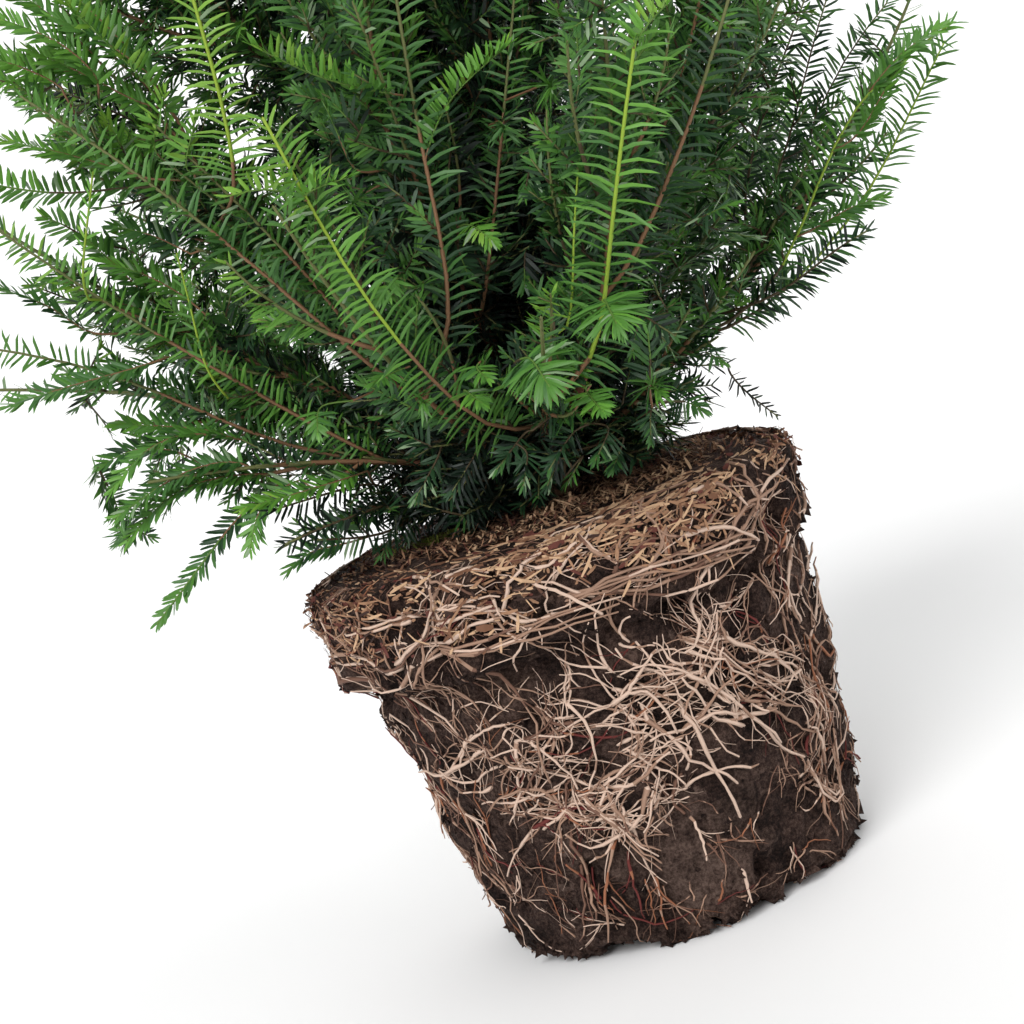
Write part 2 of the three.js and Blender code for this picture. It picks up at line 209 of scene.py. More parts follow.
SKY_AT = -50  # mm: the y at which the sight lines through the gaps are given
SKY = [  # x, z and radius in mm of the gaps that show the sky
    (-196, 505, 9), (-184, 498, 6), (-181, 476, 5), (-166, 451, 4), (-155, 446, 4), (-224, 438, 7),
    (-213, 430, 4), (-231, 410, 9), (-219, 398, 4), (-234, 383, 4), (-219, 364, 4), (-182, 346, 6),
    (-201, 354, 7), (-239, 354, 11), (-197, 320, 4), (-167, 285, 4), (-192, 274, 10), (-146, 266, 5),
    (-180, 234, 11), (-42, 496, 4), (-248, 286, 15), (-240, 322, 13), (206, 371, 4), (217, 357, 3),
    (218, 415, 5), (-228, 268, 10), (-229, 304, 9), (-230, 320, 5), (-237, 295, 5),
]
RIM = (-52, 112, 205, 231)  # x and z of the sight lines that show the mulch along the front of the rim

# ---------------------------------------------------------------- numbers


def unit(v):
    """v scaled to length one along its last axis."""
    return v / np.maximum(np.linalg.norm(v, axis=-1, keepdims=True), 1e-12)


def dot(a, b):
    return (a * b).sum(-1, keepdims=True)


def linear(colour):
    """An sRGB colour of 0 to 255 as linear light."""
    c = np.array(colour) / 255
    return tuple(np.where(c <= 0.04045, c / 12.92, ((c + 0.055) / 1.055) ** 2.4).tolist())


def noise(points, scale, seed):
    """Smooth random values from -1 to 1 at points, which change over about scale metres."""
    p = np.asarray(points) / scale + 19.7 * seed
    cell = np.floor(p).astype(np.int64)
    f = p - cell
    f = f * f * (3 - 2 * f)
    total = np.zeros(p.shape[:-1])
    for corner in itertools.product((0, 1), repeat=3):
        c = cell + corner
        h = (c[..., 0] * 73856093) ^ (c[..., 1] * 19349663) ^ (c[..., 2] * 83492791) ^ (seed * 2654435761)
        h &= 0xFFFFFFFF
        h = ((h ^ (h >> 15)) * 2246822519) & 0xFFFFFFFF
        h = ((h ^ (h >> 13)) * 3266489917) & 0xFFFFFFFF
        value = (h ^ (h >> 16)) / 2**31 - 1
        total += value * np.prod(np.where(corner, f, 1 - f), axis=-1)
    return total


def lumps(points, *layers):
    """Layers of noise at points, each with its height, the size of its lumps in mm and its seed."""
    return sum(height * noise(points, size * MM, seed) for height, size, seed in layers)


def polar(theta, r, z):
    """Points round the vertical axis."""
    return np.stack(np.broadcast_arrays(np.cos(theta) * r, np.sin(theta) * r, z), -1)


def along(path, shares):
    """Points at shares of a path of evenly spaced points."""
    k = np.clip(np.asarray(shares) * (len(path) - 1), 0, len(path) - 1 - 1e-9)
    low = k.astype(int)
    mix = (k - low)[:, None]
    return path[low] * (1 - mix) + path[low + 1] * mix


def length_of(path):
    return np.linalg.norm(np.diff(path, axis=0), axis=1).sum()


def tree_of(points):
    """A search tree over points."""
    tree = KDTree(len(points))
    for k, point in enumerate(points):
        tree.insert(point, k)
    tree.balance()
    return tree


def turned(v, axis, angle):
    """v turned about a unit axis by an angle, all arrays."""
    angle = np.asarray(angle)[..., None]
    return v * np.cos(angle) + np.cross(axis, v) * np.sin(angle) + axis * dot(axis, v) * (1 - np.cos(angle))


# ---------------------------------------------------------------- meshes


def piece(name, shape, materials, replaced, smooth=True):
    """A mesh piece in place of nodes. shape is its points, its triangles and the material of each."""
    points, faces, which = shape
    mesh = bpy.data.meshes.new(name)
    count = len(faces)
    mesh.vertices.add(len(points))
    mesh.vertices.foreach_set("co", np.ascontiguousarray(points, np.float32).ravel())
    mesh.loops.add(3 * count)
    mesh.loops.foreach_set("vertex_index", np.ascontiguousarray(faces, np.int32).ravel())
    mesh.polygons.add(count)
    mesh.polygons.foreach_set("loop_start", np.arange(0, 3 * count, 3, dtype=np.int32))
    for stuff in materials:
        mesh.materials.append(stuff)
    mesh.polygons.foreach_set("material_index", np.full(count, which, np.int32))
    mesh.polygons.foreach_set("use_smooth", np.full(count, smooth))
    mesh.update(calc_edges=True)
    mesh.validate()
    thing = bpy.data.objects.new(name, mesh)
    bpy.context.scene.collection.objects.link(thing)
    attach(thing, "root")
    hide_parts(*replaced)


def tube_faces(rows, sides):
    """The triangles of a tube of rings, with a point past each end."""
    ring = np.arange(rows - 1)[:, None] * sides
    j = np.arange(sides)
    after = (j + 1) % sides
    a, b = ring + j, ring + after
    walls = np.stack([a, b, b + sides, a, b + sides, a + sides], -1).reshape(-1, 3)
    top = (rows - 1) * sides
    foot = np.stack([np.full(sides, rows * sides), after, j], -1)
    head = np.stack([np.full(sides, rows * sides + 1), top + j, top + after], -1)
    return np.concatenate([walls, foot, head])


def copies(faces, count, corners):
    """The triangles of count like meshes, of that many corners each."""
    return (np.array(faces)[None] + np.arange(count)[:, None, None] * corners).reshape(-1, 3)


def joined(shapes):
    """One shape of several, each as points, triangles and materials."""
    points, faces, which = zip(*shapes)
    starts = np.cumsum([0] + [len(p) for p in points[:-1]])
    faces = [f + start for f, start in zip(faces, starts)]
    return np.concatenate(points), np.concatenate(faces), np.concatenate(which)


def tubes(paths, radii, sides):
    """Tapering tubes round paths (n, k, 3). radii is (n, k) or (n, k, sides)."""
    n, k, _ = paths.shape
    tangent = unit(np.gradient(paths, axis=1))
    across = np.empty_like(paths)
    side = np.where(np.abs(tangent[:, 0, 2:3]) < 0.9, UP, np.array([1.0, 0.0, 0.0]))
    across[:, 0] = unit(np.cross(tangent[:, 0], side))
    for i in range(1, k):
        across[:, i] = unit(across[:, i - 1] - dot(across[:, i - 1], tangent[:, i]) * tangent[:, i])
    over = np.cross(tangent, across)
    turn = 2 * np.pi * np.arange(sides) / sides
    spread = across[:, :, None] * np.cos(turn)[:, None] + over[:, :, None] * np.sin(turn)[:, None]
    if radii.ndim == 2:
        radii = radii[:, :, None]
    rings = paths[:, :, None] + radii[..., None] * spread
    cap = radii.mean(-1)[..., None]
    first = paths[:, :1] - tangent[:, :1] * cap[:, :1]
    last = paths[:, -1:] + tangent[:, -1:] * cap[:, -1:]
    points = np.concatenate([rings.reshape(n, k * sides, 3), first, last], axis=1)
    return points.reshape(-1, 3), copies(tube_faces(k, sides), n, k * sides + 2)


# ---------------------------------------------------------------- materials


def material(name, colour, roughness, specular=0.5):
    """A Principled material of an sRGB colour, its node tree and its shader."""
    colour = linear(colour)
    made = bpy.data.materials.new(name)
    made.use_nodes = True
    shader = made.node_tree.nodes["Principled BSDF"]
    shader.inputs["Base Color"].default_value = (*colour, 1)
    shader.inputs["Roughness"].default_value = roughness
    shader.inputs["Specular IOR Level"].default_value = specular
    made.diffuse_color = (*colour, 1)
    return made, made.node_tree, shader


def pattern(tree, size, detail=6.0, stretch=(1, 1, 1), rough=0.6):
    """A noise pattern in the row frame whose lumps are about size metres. Returns its Fac socket."""
    place = tree.nodes.new("ShaderNodeTexCoord")
    mapping = tree.nodes.new("ShaderNodeMapping")
    mapping.inputs["Scale"].default_value = stretch
    cells = tree.nodes.new("ShaderNodeTexNoise")
    for socket, value in (("Scale", 1 / size), ("Detail", detail), ("Roughness", rough)):
        cells.inputs[socket].default_value = value
    tree.links.new(place.outputs["Object"], mapping.inputs["Vector"])
    tree.links.new(mapping.outputs["Vector"], cells.inputs["Vector"])
    return cells.outputs["Fac"]


def bumped(tree, shader, fac, strength, depth):
    bump = tree.nodes.new("ShaderNodeBump")
    bump.inputs["Strength"].default_value = strength
    bump.inputs["Distance"].default_value = depth
    tree.links.new(fac, bump.inputs["Height"])
    tree.links.new(bump.outputs["Normal"], shader.inputs["Normal"])


def ramped(tree, fac, stops):
    """A colour ramp over fac, with stops of (place, colour)."""
    ramp = tree.nodes.new("ShaderNodeValToRGB")
    bar = ramp.color_ramp
    for k, (place, colour) in enumerate(stops):
        stop = bar.elements[k] if k < 2 else bar.elements.new(place)
        stop.position = place
        stop.color = (*linear(colour), 1)
    tree.links.new(fac, ramp.inputs["Fac"])
    return ramp.outputs["Color"]


def plain_materials(colours, roughness, specular, grain, detail, strength, depth):
    """Materials of plain colours, with a fine grain only in the shape of their surface."""
    made = []
    for name, colour in colours.items():
        stuff, tree, shader = material(name, colour, roughness, specular)
        bumped(tree, shader, pattern(tree, grain, detail), strength, depth)
        made.append(stuff)
    return made


def bark_material(name, tones):
    """Thin, scaly bark: tones from dark in its cracks, where its relief is low, as painted shade, to the
    flakes that have lifted.
    """
    bark, tree, shader = material(name, tones[1], 0.8, 0.25)
    fac = pattern(tree, 7 * MM, 8, (1, 1, 0.3))
    tree.links.new(ramped(tree, fac, zip((0.32, 0.5, 0.68), tones)), shader.inputs["Base Color"])
    bumped(tree, shader, fac, 0.8, 1.2 * MM)
    return bark


def soil_material(name, tones):
    """Compost: tones from near black, the compost's own dark with painted shade of its pores, to its dry
    grit.
    """
    soil, tree, shader = material(name, tones[1], 0.95, 0.15)
    blend = tree.nodes.new("ShaderNodeMix")
    blend.inputs["Factor"].default_value = 0.68
    tree.links.new(pattern(tree, 30 * MM, 4), blend.inputs["A"])
    tree.links.new(pattern(tree, 2.6 * MM, 10, rough=0.85), blend.inputs["B"])
    stops = zip((0.40, 0.46, 0.52, 0.60), tones)
    tree.links.new(ramped(tree, blend.outputs["Result"], stops), shader.inputs["Base Color"])
    bumped(tree, shader, pattern(tree, 5 * MM, 9, rough=0.85), 1.0, 9 * MM)
    return soil


# ---------------------------------------------------------------- the frame's limbs


def skin_of(name):
    """A node's surface, for rays."""
    mesh = NODES[name].data
    return BVHTree.FromPolygons([v.co for v in mesh.vertices], [p.vertices for p in mesh.polygons])


def corners_of(name):
    mesh = NODES[name].data
    points = np.empty(len(mesh.vertices) * 3)
    mesh.vertices.foreach_get("co", points)
    return np.unique(points.reshape(-1, 3).round(6), axis=0)


TRUNK = corners_of("trunk")
TRUNK_FOOT, TRUNK_TIP = TRUNK[:, 2].min(), TRUNK[:, 2].max()


def trunk_line(z):
    """The middle of the trunk at heights."""
    return np.stack([*(np.polyval(np.polyfit(TRUNK[:, 2], TRUNK[:, k], 4), z) for k in (0, 1)), z], -1)


def far_end(points, start, depth):
    """The middle of the points that lie within depth of the furthest one from start."""
    away = np.linalg.norm(points - start, axis=1)
    return points[away > away.max() - depth].mean(0)


def reach_in(skin, point, way, most):
    """How far the surface is from a point inside it, or most where there is none."""
    hit = skin.ray_cast(Vector(point), Vector(way), most)
    return hit[3] if hit[0] is not None else most


def bough_arc(bough, mass):
    """The arc of one branch through its foot, the bough's end and the foliage's tip.

    Returns the three points and the share of the arc at which the foliage begins."""
    limb = corners_of(bough)
    nearest = limb[np.hypot(limb[:, 0], limb[:, 1]).argmin()]
    end = far_end(limb, nearest, 3 * MM)
    foot = far_end(limb, end, 4 * MM)
    tip = far_end(corners_of(mass), end, 3 * MM)
    bare = np.linalg.norm(end - foot)
    return np.array([foot, end, tip]), bare / (bare + np.linalg.norm(tip - end))


def arc_points(marks, middle, shares):
    """Points of the quadratic curve through three marks, the second at the share middle."""
    t = np.asarray(shares)[:, None]
    a = (t - middle) * (t - 1) / middle
    b = t * (t - 1) / (middle * (middle - 1))
    c = t * (t - middle) / (1 - middle)
    return a * marks[0] + b * marks[1] + c * marks[2]


# ---------------------------------------------------------------- shoots

# step between needles on one side, length and width in mm, opening angle and how much it closes
# towards the tip in degrees, sweep back, arch down, rise out of the spray's plane and its spread,
# blade, light: a shift of the needles' tones, partly their own colour and partly painted light and
# shade, high for the lit shoots at the front and low for the fringes, the dark shoots and the inside
Habit = namedtuple("Habit", "step length width opening splay back arch rise roll blade light")
HABITS = {
    "hero": Habit(3.9, 17.5, 1.8, 54, 0, 0.48, 0.10, 0.24, 0.20, "long", 0.70),
    "lime": Habit(5.2, 20.5, 1.9, 56, 0, 0.50, 0.10, 0.18, 0.18, "long", 0.50),
    "tall": Habit(4.8, 17.0, 1.8, 50, 0, 0.40, 0.12, 0.24, 0.35, "long", 0.50),
    "right": Habit(3.8, 15.5, 1.6, 46, 0, 0.36, 0.12, 0.24, 0.45, "long", 0.42),
    "leader": Habit(3.7, 15.0, 1.8, 52, 0, 0.28, 0.12, 0.24, 0.55, "short", 0.48),
    "stem": Habit(3.6, 13.5, 1.7, 56, 0, 0.30, 0.14, 0.24, 0.60, "short", 0.50),
    "sprig": Habit(5.0, 8.5, 1.5, 40, 0, 0.20, 0.10, 0.24, 0.60, "short", 0.50),
    "sub": Habit(3.1, 14.0, 1.8, 52, 0, 0.22, 0.12, 0.24, 0.45, "short", 0.48),
    "comb": Habit(2.0, 13.0, 2.3, 44, 10, 0.10, 0.08, 0.24, 0.18, "short", 0.52),
    "broad": Habit(2.8, 16.0, 2.3, 66, 20, 0.08, 0.08, 0.20, 0.12, "long", 0.42),
    "bright": Habit(2.3, 12.0, 2.3, 70, 24, 0.08, 0.04, 0.85, 0.22, "short", 0.62),
    "fan": Habit(1.05, 17.5, 2.1, 64, 66, 0.04, 0.46, 0.16, 0.12, "long", 0.42),
    "fanlet": Habit(1.5, 10.5, 2.0, 60, 50, 0.05, 0.34, 0.16, 0.14, "short", 0.56),
    "dull": Habit(1.8, 11.5, 1.8, 60, 50, 0.08, 0.34, 0.16, 0.20, "short", 0.40),
    "fringe": Habit(2.0, 11.5, 1.6, 40, 20, 0.14, 0.20, 0.10, 0.70, "short", 0.28),
    "tuft": Habit(1.5, 14.5, 1.6, 62, 30, 0.30, 0.20, 0.50, 1.60, "short", 0.46),
    "droop": Habit(2.6, 12.0, 2.2, 44, 10, 0.05, 0.10, 0.24, 0.12, "long", 0.50),
    "side": Habit(2.25, 13.0, 2.0, 48, 14, 0.12, 0.14, 0.24, 0.30, "fine", 0.49),
    "fine": Habit(2.25, 11.5, 1.8, 50, 14, 0.14, 0.16, 0.24, 0.40, "fine", 0.44),
    "dark": Habit(2.8, 14.0, 1.7, 54, 0, 0.20, 0.14, 0.24, 0.50, "fine", 0.33),
    "inner": Habit(3.0, 14.5, 1.6, 54, 0, 0.18, 0.18, 0.24, 0.40, "fine", 0.20),
    "bare": Habit(3.2, 7.5, 1.3, 50, 0, 0.14, 0.12, 0.24, 0.60, "short", 0.24),
}
FINE_STEPS = 9  # points on the path of a side shoot
SHORT_STEPS = 13  # on that of a competing leader
LEADER_STEPS = 17
SHOWN_STEPS = 25
SMOOTHINGS = 60  # passes that soften the corners of a shown shoot or root
shoots = []


def add_shoot(path, face, habit, light, fresh, radii, bare=0.0, shown=False):
    """Keeps a shoot. light shifts its needles' tones, partly at random and partly as painted light and shade,
    and fresh is how much of it is this year's.

    radii are those of its foot and tip in mm, and bare is its share without needles."""
    radii = np.array(radii) * MM
    fine = len(path) == FINE_STEPS
    shoots.append(dict(
        path=path, face=face, habit=habit, light=light, fresh=fresh, radii=radii, bare=bare, shown=shown,
        fine=fine))


def smoothed(marks, count):
    """A soft curve of evenly spaced points along marks."""
    marks = np.array(marks, float)
    gone = np.concatenate([[0], np.cumsum(np.linalg.norm(np.diff(marks, axis=0), axis=1))])
    at = np.linspace(0, gone[-1], 41)
    fine = np.stack([np.interp(at, gone, marks[:, k]) for k in range(3)], -1)
    for _ in range(SMOOTHINGS):
        fine[1:-1] = (fine[:-2] + 2 * fine[1:-1] + fine[2:]) / 4
    return along(fine, np.linspace(0, 1, count))


def shoot_path(start, way, length, pull, count=FINE_STEPS):
    """A path that sets off along way and bends by pull over its length."""
    s = np.linspace(0, 1, count)[:, None]
    wobble = rng.normal(0, 0.014, (1, 3)) * length * np.sin(math.pi * s)
    return start + length * (way * s + pull * s * s) + wobble


def facing(tangent, wish, jitter):
    """A unit face direction at right angles to tangent, near wish."""
    face = unit(wish - (wish * tangent).sum() * tangent)
    return turned(face, tangent, rng.normal(0, jitter))


def outward(point):
    """The way out from the trunk, level."""
    flat = np.array([point[0], point[1], 0.0])
    return unit(flat) if np.linalg.norm(flat) > 1e-6 else np.array([1.0, 0, 0])


NEEDLE_ROOM = 6 * MM  # a shoot stops this far inside its mass, and its needles reach the outline
FORKING_SIZE = 32 * MM  # side shoots longer than this have twiglets

# mm between side shoots, their angle in degrees, shortest and longest in mm, and the span of the
# parent that they grow on
TWIGLETS = dict(gap=9.5, angle=46, size=(10, 26), span=(0.15, 0.8), habit="fine")
DARK_TWIGLETS = dict(TWIGLETS, gap=14, habit="inner")
SIDES = dict(gap=8.5, angle=50, size=(15, 54), span=(0.0, 0.76), habit="side", child=TWIGLETS)
SUB_SIDES = dict(gap=9.5, angle=48, size=(12, 36), span=(0.04, 0.70), habit="fine", child=TWIGLETS)
STEM_SIDES = dict(gap=11, angle=50, size=(13, 30), span=(0.05, 0.66), habit="fine")
HERO_SIDES = dict(gap=19, angle=48, size=(12, 24), span=(0.06, 0.42), habit="side")
INNER = dict(gap=10, angle=60, size=(26, 60), span=(0.2, 1.0), habit="inner", child=DARK_TWIGLETS)


def side_shoots(parent, skin, spec, light, fullness=1.0, roll=None):
    """Side shoots along a parent path, as long as the mass has room for where skin is given."""
    first, last = spec["span"]
    shortest, longest = (v * MM * fullness for v in spec["size"])
    count = int(length_of(parent) * (last - first) / (spec["gap"] * MM))
    for k in range(count):
        share = first + (last - first) * (k + rng.uniform(0.2, 0.8)) / count
        behind, start, ahead = along(parent, [max(share - 0.04, 0), share, min(share + 0.04, 1)])
        tangent = unit(ahead - behind)
        out = outward(start)
        if roll is None:  # all round the parent
            flank = unit(np.cross(tangent, out + 0.3 * UP))
            turn = (k % 2) * math.pi + rng.normal(0, 0.5) + (math.pi / 2 if k % 3 == 2 else 0)
        else:  # in the plane that the parent's needles face
            flank = unit(np.cross(tangent, roll))
            turn = (k % 2) * math.pi + rng.normal(0, 0.25)
        sideways = turned(flank, tangent, turn)
        angle = math.radians(rng.normal(spec["angle"], 7))
        way = unit(math.cos(angle) * tangent + math.sin(angle) * sideways)
        room = reach_in(skin, start, way, longest) if skin else longest
        taper = 1 - 0.5 * (share - first) / (last - first)
        size = min(room * rng.uniform(0.85, 1.15) - NEEDLE_ROOM, longest * taper * rng.uniform(0.7, 1.1))
        size = max(size, shortest * rng.uniform(0.8, 1.3))
        path = shoot_path(start, way, size, 0.16 * tangent + 0.08 * UP)
        wish = 0.8 * UP + 0.6 * out + 0.35 * np.cross(tangent, sideways)
        face = facing(unit(path[-1] - path[0]), wish, 0.35)
        tone = light + rng.normal(0, 0.09)
        add_shoot(path, face, spec["habit"], tone, rng.uniform(0.2, 0.7), (0.8, 0.4))
        if "child" in spec and size > FORKING_SIZE:
            side_shoots(path, skin, spec["child"], light, fullness, face)


def grow_plume(leader, skin, fullness):
    """The leader, its competing leaders and all their side shoots, in the space of one mass."""
    length = length_of(leader)
    tangent = unit(leader[-1] - leader[0])
    out = outward(leader[8] + 0.02 * tangent)
    add_shoot(leader, facing(tangent, out + 0.25 * UP, 0.3), "leader", 0, rng.uniform(0.42, 0.6), (1.7, 0.8))
    side_shoots(leader, skin, SIDES, 0, fullness)
    count = RIVALS if fullness == 1 else RIVALS // 2
    for k in range(count):
        share = 0.02 + 0.52 * k / count + rng.uniform(0, 0.05)
        start, ahead = along(leader, [share, share + 0.05])
        here = unit(ahead - start)
        flank = unit(np.cross(here, out))
        sideways = turned(flank, here, rng.uniform(0, 0.6) + k * SPIRAL)
        angle = math.radians(rng.uniform(22, 36))
        way = unit(math.cos(angle) * here + math.sin(angle) * sideways)
        room = reach_in(skin, start, way, 1.0)
        size = min(length * (1 - share) * rng.uniform(0.6, 0.9), room * 1.25 + 10 * MM)
        path = shoot_path(start, way, size, 0.42 * (here - way) + 0.06 * UP, SHORT_STEPS)
        face = facing(unit(path[-1] - path[0]), out + 0.3 * UP, 0.5)
        add_shoot(path, face, "sub", rng.normal(0, 0.1), rng.uniform(0.35, 0.7), (1.3, 0.6))
        side_shoots(path, skin, SUB_SIDES, 0, fullness)


RIVALS = 6  # competing leaders in a full plume
SPIRAL = 2.4  # radians from each to the next, round the leader
SLIM = {"right_low": 0.6, "right_front_low": 0.8, "left_drooping": 0.5}  # the photo's thin plumes
SHORT = {"left_front": 0.8, "left_drooping": 0.5}  # the share of its mass that a leader grows through
TOP_FOOT = 0.86  # the share of the trunk's height at which its own plume begins


def grow_crown():
    limbs, plumes = [trunk_line(np.linspace(TRUNK_FOOT, TRUNK_TIP, 60))], []
    bare_limbs = [limbs[0]]
    for mass in MASSES:
        name = mass.replace("foliage_", "")
        if name == "top":
            peak = corners_of(mass)
            tip = peak[peak[:, 2] > peak[:, 2].max() - 3 * MM].mean(0)
            marks = np.array([along(limbs[0], [TOP_FOOT])[0], limbs[0][-1], tip])
            leader = arc_points(marks, 0.5, np.linspace(0, 1, LEADER_STEPS))
        else:
            marks, middle = bough_arc("bough_" + name, mass)
            bare_limbs.append(arc_points(marks, middle, np.linspace(0, middle, 9)))
            side_shoots(bare_limbs[-1], None, INNER, 0)
            limbs.append(arc_points(marks, middle, np.linspace(0.1, 0.9, 30)))
            end = middle + (1 - middle) * SHORT.get(name, 1)
            leader = arc_points(marks, middle, np.linspace(middle, end, LEADER_STEPS))
        plumes.append((leader, skin_of(mass), SLIM.get(name, 1.0)))
    grow_inside(limbs[0])
    carriers = np.concatenate(limbs)
    for style, *marks in LEADERS.values():
        if style in STEMS:
            grow_shown(style, np.array(marks) * MM, carriers)
    for plume in plumes:
        grow_plume(*plume)
    for style, *marks in LEADERS.values():
        if style not in STEMS:
            grow_shown(style, np.array(marks) * MM, np.concatenate([s["path"][2:] for s in shoots]))
    for _ in range(FILL_ROUNDS):
        fill_masses()
    shoots[:] = growing(thinned(), bare_limbs)


INSIDE_SHOOTS = 150
FILL_ROUNDS = 3
FILL_GAP = (11 * MM, 42 * MM)  # how far an empty place may be from the nearest shoot
FILL_TRIES = 1.4e5  # per cubic metre of a mass's box


def fill_masses():
    """Shoots that branch off the nearest ones into the empty places of the masses."""
    tree = tree_of(np.concatenate([s["path"] for s in shoots]))
    taken = set()
    for mass in MASSES:
        skin = skin_of(mass)
        low, high = (np.array(c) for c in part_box(mass))
        for spot in rng.uniform(low, high, (int(FILL_TRIES * np.prod(high - low)), 3)):
            cell = tuple((spot // FILL_GAP[0]).astype(int))
            wall, normal, _, depth = skin.find_nearest(Vector(spot))
            inside = (Vector(spot) - wall).dot(normal) < 0
            near, _, gap = tree.find(spot)
            if cell in taken or not inside or depth < NEEDLE_ROOM or not FILL_GAP[0] < gap < FILL_GAP[1]:
                continue
            taken.add(cell)
            near = np.array(near)
            way = unit(spot - near + 0.2 * gap * UP)
            path = shoot_path(near, way, gap + 7 * MM, 0.08 * outward(spot))
            face = facing(unit(path[-1] - path[0]), 0.8 * UP + 0.6 * outward(spot), 0.5)
            habit = ("side", "fine")[int(rng.random() < 0.5)]
            add_shoot(path, face, habit, rng.normal(0, 0.09), rng.uniform(0.2, 0.7), (0.7, 0.4))


def grow_inside(trunk):
    """Short shoots from the trunk, their needles dark with painted shade, which close the crown's middle and
    skirt the soil.
    """
    low, high = trunk[0, 2], trunk[-1, 2]
    for k in range(INSIDE_SHOOTS):
        height = low + 8 * MM + (high - low - 60 * MM) * (k / INSIDE_SHOOTS) ** 1.8
        start = along(trunk, [(height - low) / (high - low)])[0]
        heading = k * SPIRAL + rng.normal(0, 0.3)
        near_soil = max(0.0, 1 - (height - low) / 0.1)
        rise = math.radians(rng.uniform(28, 50) - 34 * near_soil)
        way = polar(heading, math.cos(rise), math.sin(rise))
        size = rng.uniform(52, 92) * MM * (1 + 0.1 * near_soil)
        path = shoot_path(start, way, size, (0.06 - 0.1 * near_soil) * UP)
        add_shoot(path, facing(way, UP, 0.5), "inner", rng.normal(0.02, 0.05), 0.3, (1.0, 0.5))
        side_shoots(path, None, INNER, 0.02)


# foot and tip radius in mm, how much is this year's, side shoots, and the space kept clear before it in mm
SHOWN = {
    "hero": (1.2, 0.9, 0.52, HERO_SIDES, 14),
    "lime": (1.3, 0.9, 0.80, None, 15),
    "tall": (1.35, 0.8, 0.42, HERO_SIDES, 10),
    "right": (1.0, 0.5, 0.75, HERO_SIDES, 6),
    "stem": (1.2, 0.6, 0.42, STEM_SIDES, 7),
    "sprig": (0.7, 0.5, 1.00, None, 5),
    "dark": (0.9, 0.5, 0.10, STEM_SIDES, 0),
    "comb": (0.6, 0.3, 0.35, None, 7),
    "broad": (0.9, 0.5, 0.40, None, 12),
    "bright": (0.5, 0.3, 0.90, None, 9),
    "fan": (0.6, 0.4, 0.90, None, 13),
    "fanlet": (0.5, 0.3, 0.90, None, 9),
    "dull": (0.5, 0.3, 0.50, None, 7),
    "fringe": (0.6, 0.3, 0.30, None, 6),
    "tuft": (0.6, 0.4, 0.60, None, 8),
    "droop": (0.8, 0.5, 0.50, None, 7),
    "bare": (0.7, 0.4, 0.10, None, 0),
}
STEMS = ("hero", "lime", "tall", "right", "stem", "dark")  # grow from the limbs, others from any shoot
FLAT = ("comb", "broad", "bright", "fan", "fanlet", "dull", "droop")  # lie flat, others face the front
LIME_STEMS = ("hero", "lime", "right", "sprig")
GREEN_STEMS = (*FLAT, "tuft", "side")
MOSS = (-0.068, -0.020, 0.230)  # where a tuft of moss is on the ball
clear = [(*MOSS, 8 * MM)]  # points that stay in sight and the space kept clear before each


def far_from(foot, limbs):
    """How far a shoot's foot is from points. Those above it or outside it count as further."""
    higher = np.maximum(limbs[:, 2] - foot[2], 0)
    further = np.maximum(np.hypot(limbs[:, 0], limbs[:, 1]) - np.hypot(*foot[:2]), 0)
    return np.linalg.norm(limbs - foot, axis=1) + 1.5 * higher + 1.0 * further


def grow_shown(style, marks, limbs):
    """A shoot that the photograph shows, from the nearest of the limbs' points below and inside it."""
    start = limbs[far_from(marks[0], limbs).argmin()]
    path = smoothed([start, *marks], SHOWN_STEPS)
    bare = min(0.9 * np.linalg.norm(start - marks[0]) / length_of(path), 0.7)
    flat = 1.35 if style in FLAT else 0.35
    face = facing(unit(path[-1] - path[0]), np.array([0, -1.0, flat]), 0.1)
    foot, tip, fresh, sides, band = SHOWN[style]
    add_shoot(path, face, style, 0, fresh, (foot, tip), bare, True)
    if sides:
        side_shoots(path, None, sides, 0.08 if sides is HERO_SIDES else -0.03)
    if band:
        clear.extend((*p, band * MM) for p in along(path, np.linspace(bare, 1, 16)))


BEFORE = 4 * MM  # a point has to be this much nearer to the camera to stand before another
BESIDE = 8 * MM  # long shoots go on as far as the foot of a shown one this near
JOINED = 4 * MM  # a shoot grows on one whose path comes this near its foot
PATH_STEP = 3 * MM  # the steps in which that path is looked at


def hides(points, front):
    """Whether each point stands before a shoot that stays in sight, as the camera sees it."""
    gap = points[:, None] - front[:, :3]
    ahead = (gap * unit(front[:, :3] - EYE)).sum(-1)
    aside = (gap**2).sum(-1) - ahead**2
    return ((ahead < -BEFORE) & (aside < front[:, 3] ** 2)).any(1)


def in_sky(points):
    """Whether each point is on a sight line through one of the crown's gaps."""
    sight = points - EYE
    at = EYE + sight * ((SKY_AT * MM - EYE[1]) / sight[:, 1:2])
    gap = np.array(SKY) * MM
    left, right, low, high = np.array(RIM) * MM
    rim = (at[:, 0] > left) & (at[:, 0] < right) & (at[:, 2] > low) & (at[:, 2] < high)
    return rim | (np.hypot(at[:, :1] - gap[:, 0], at[:, 2:] - gap[:, 1]) < gap[:, 2]).any(1)


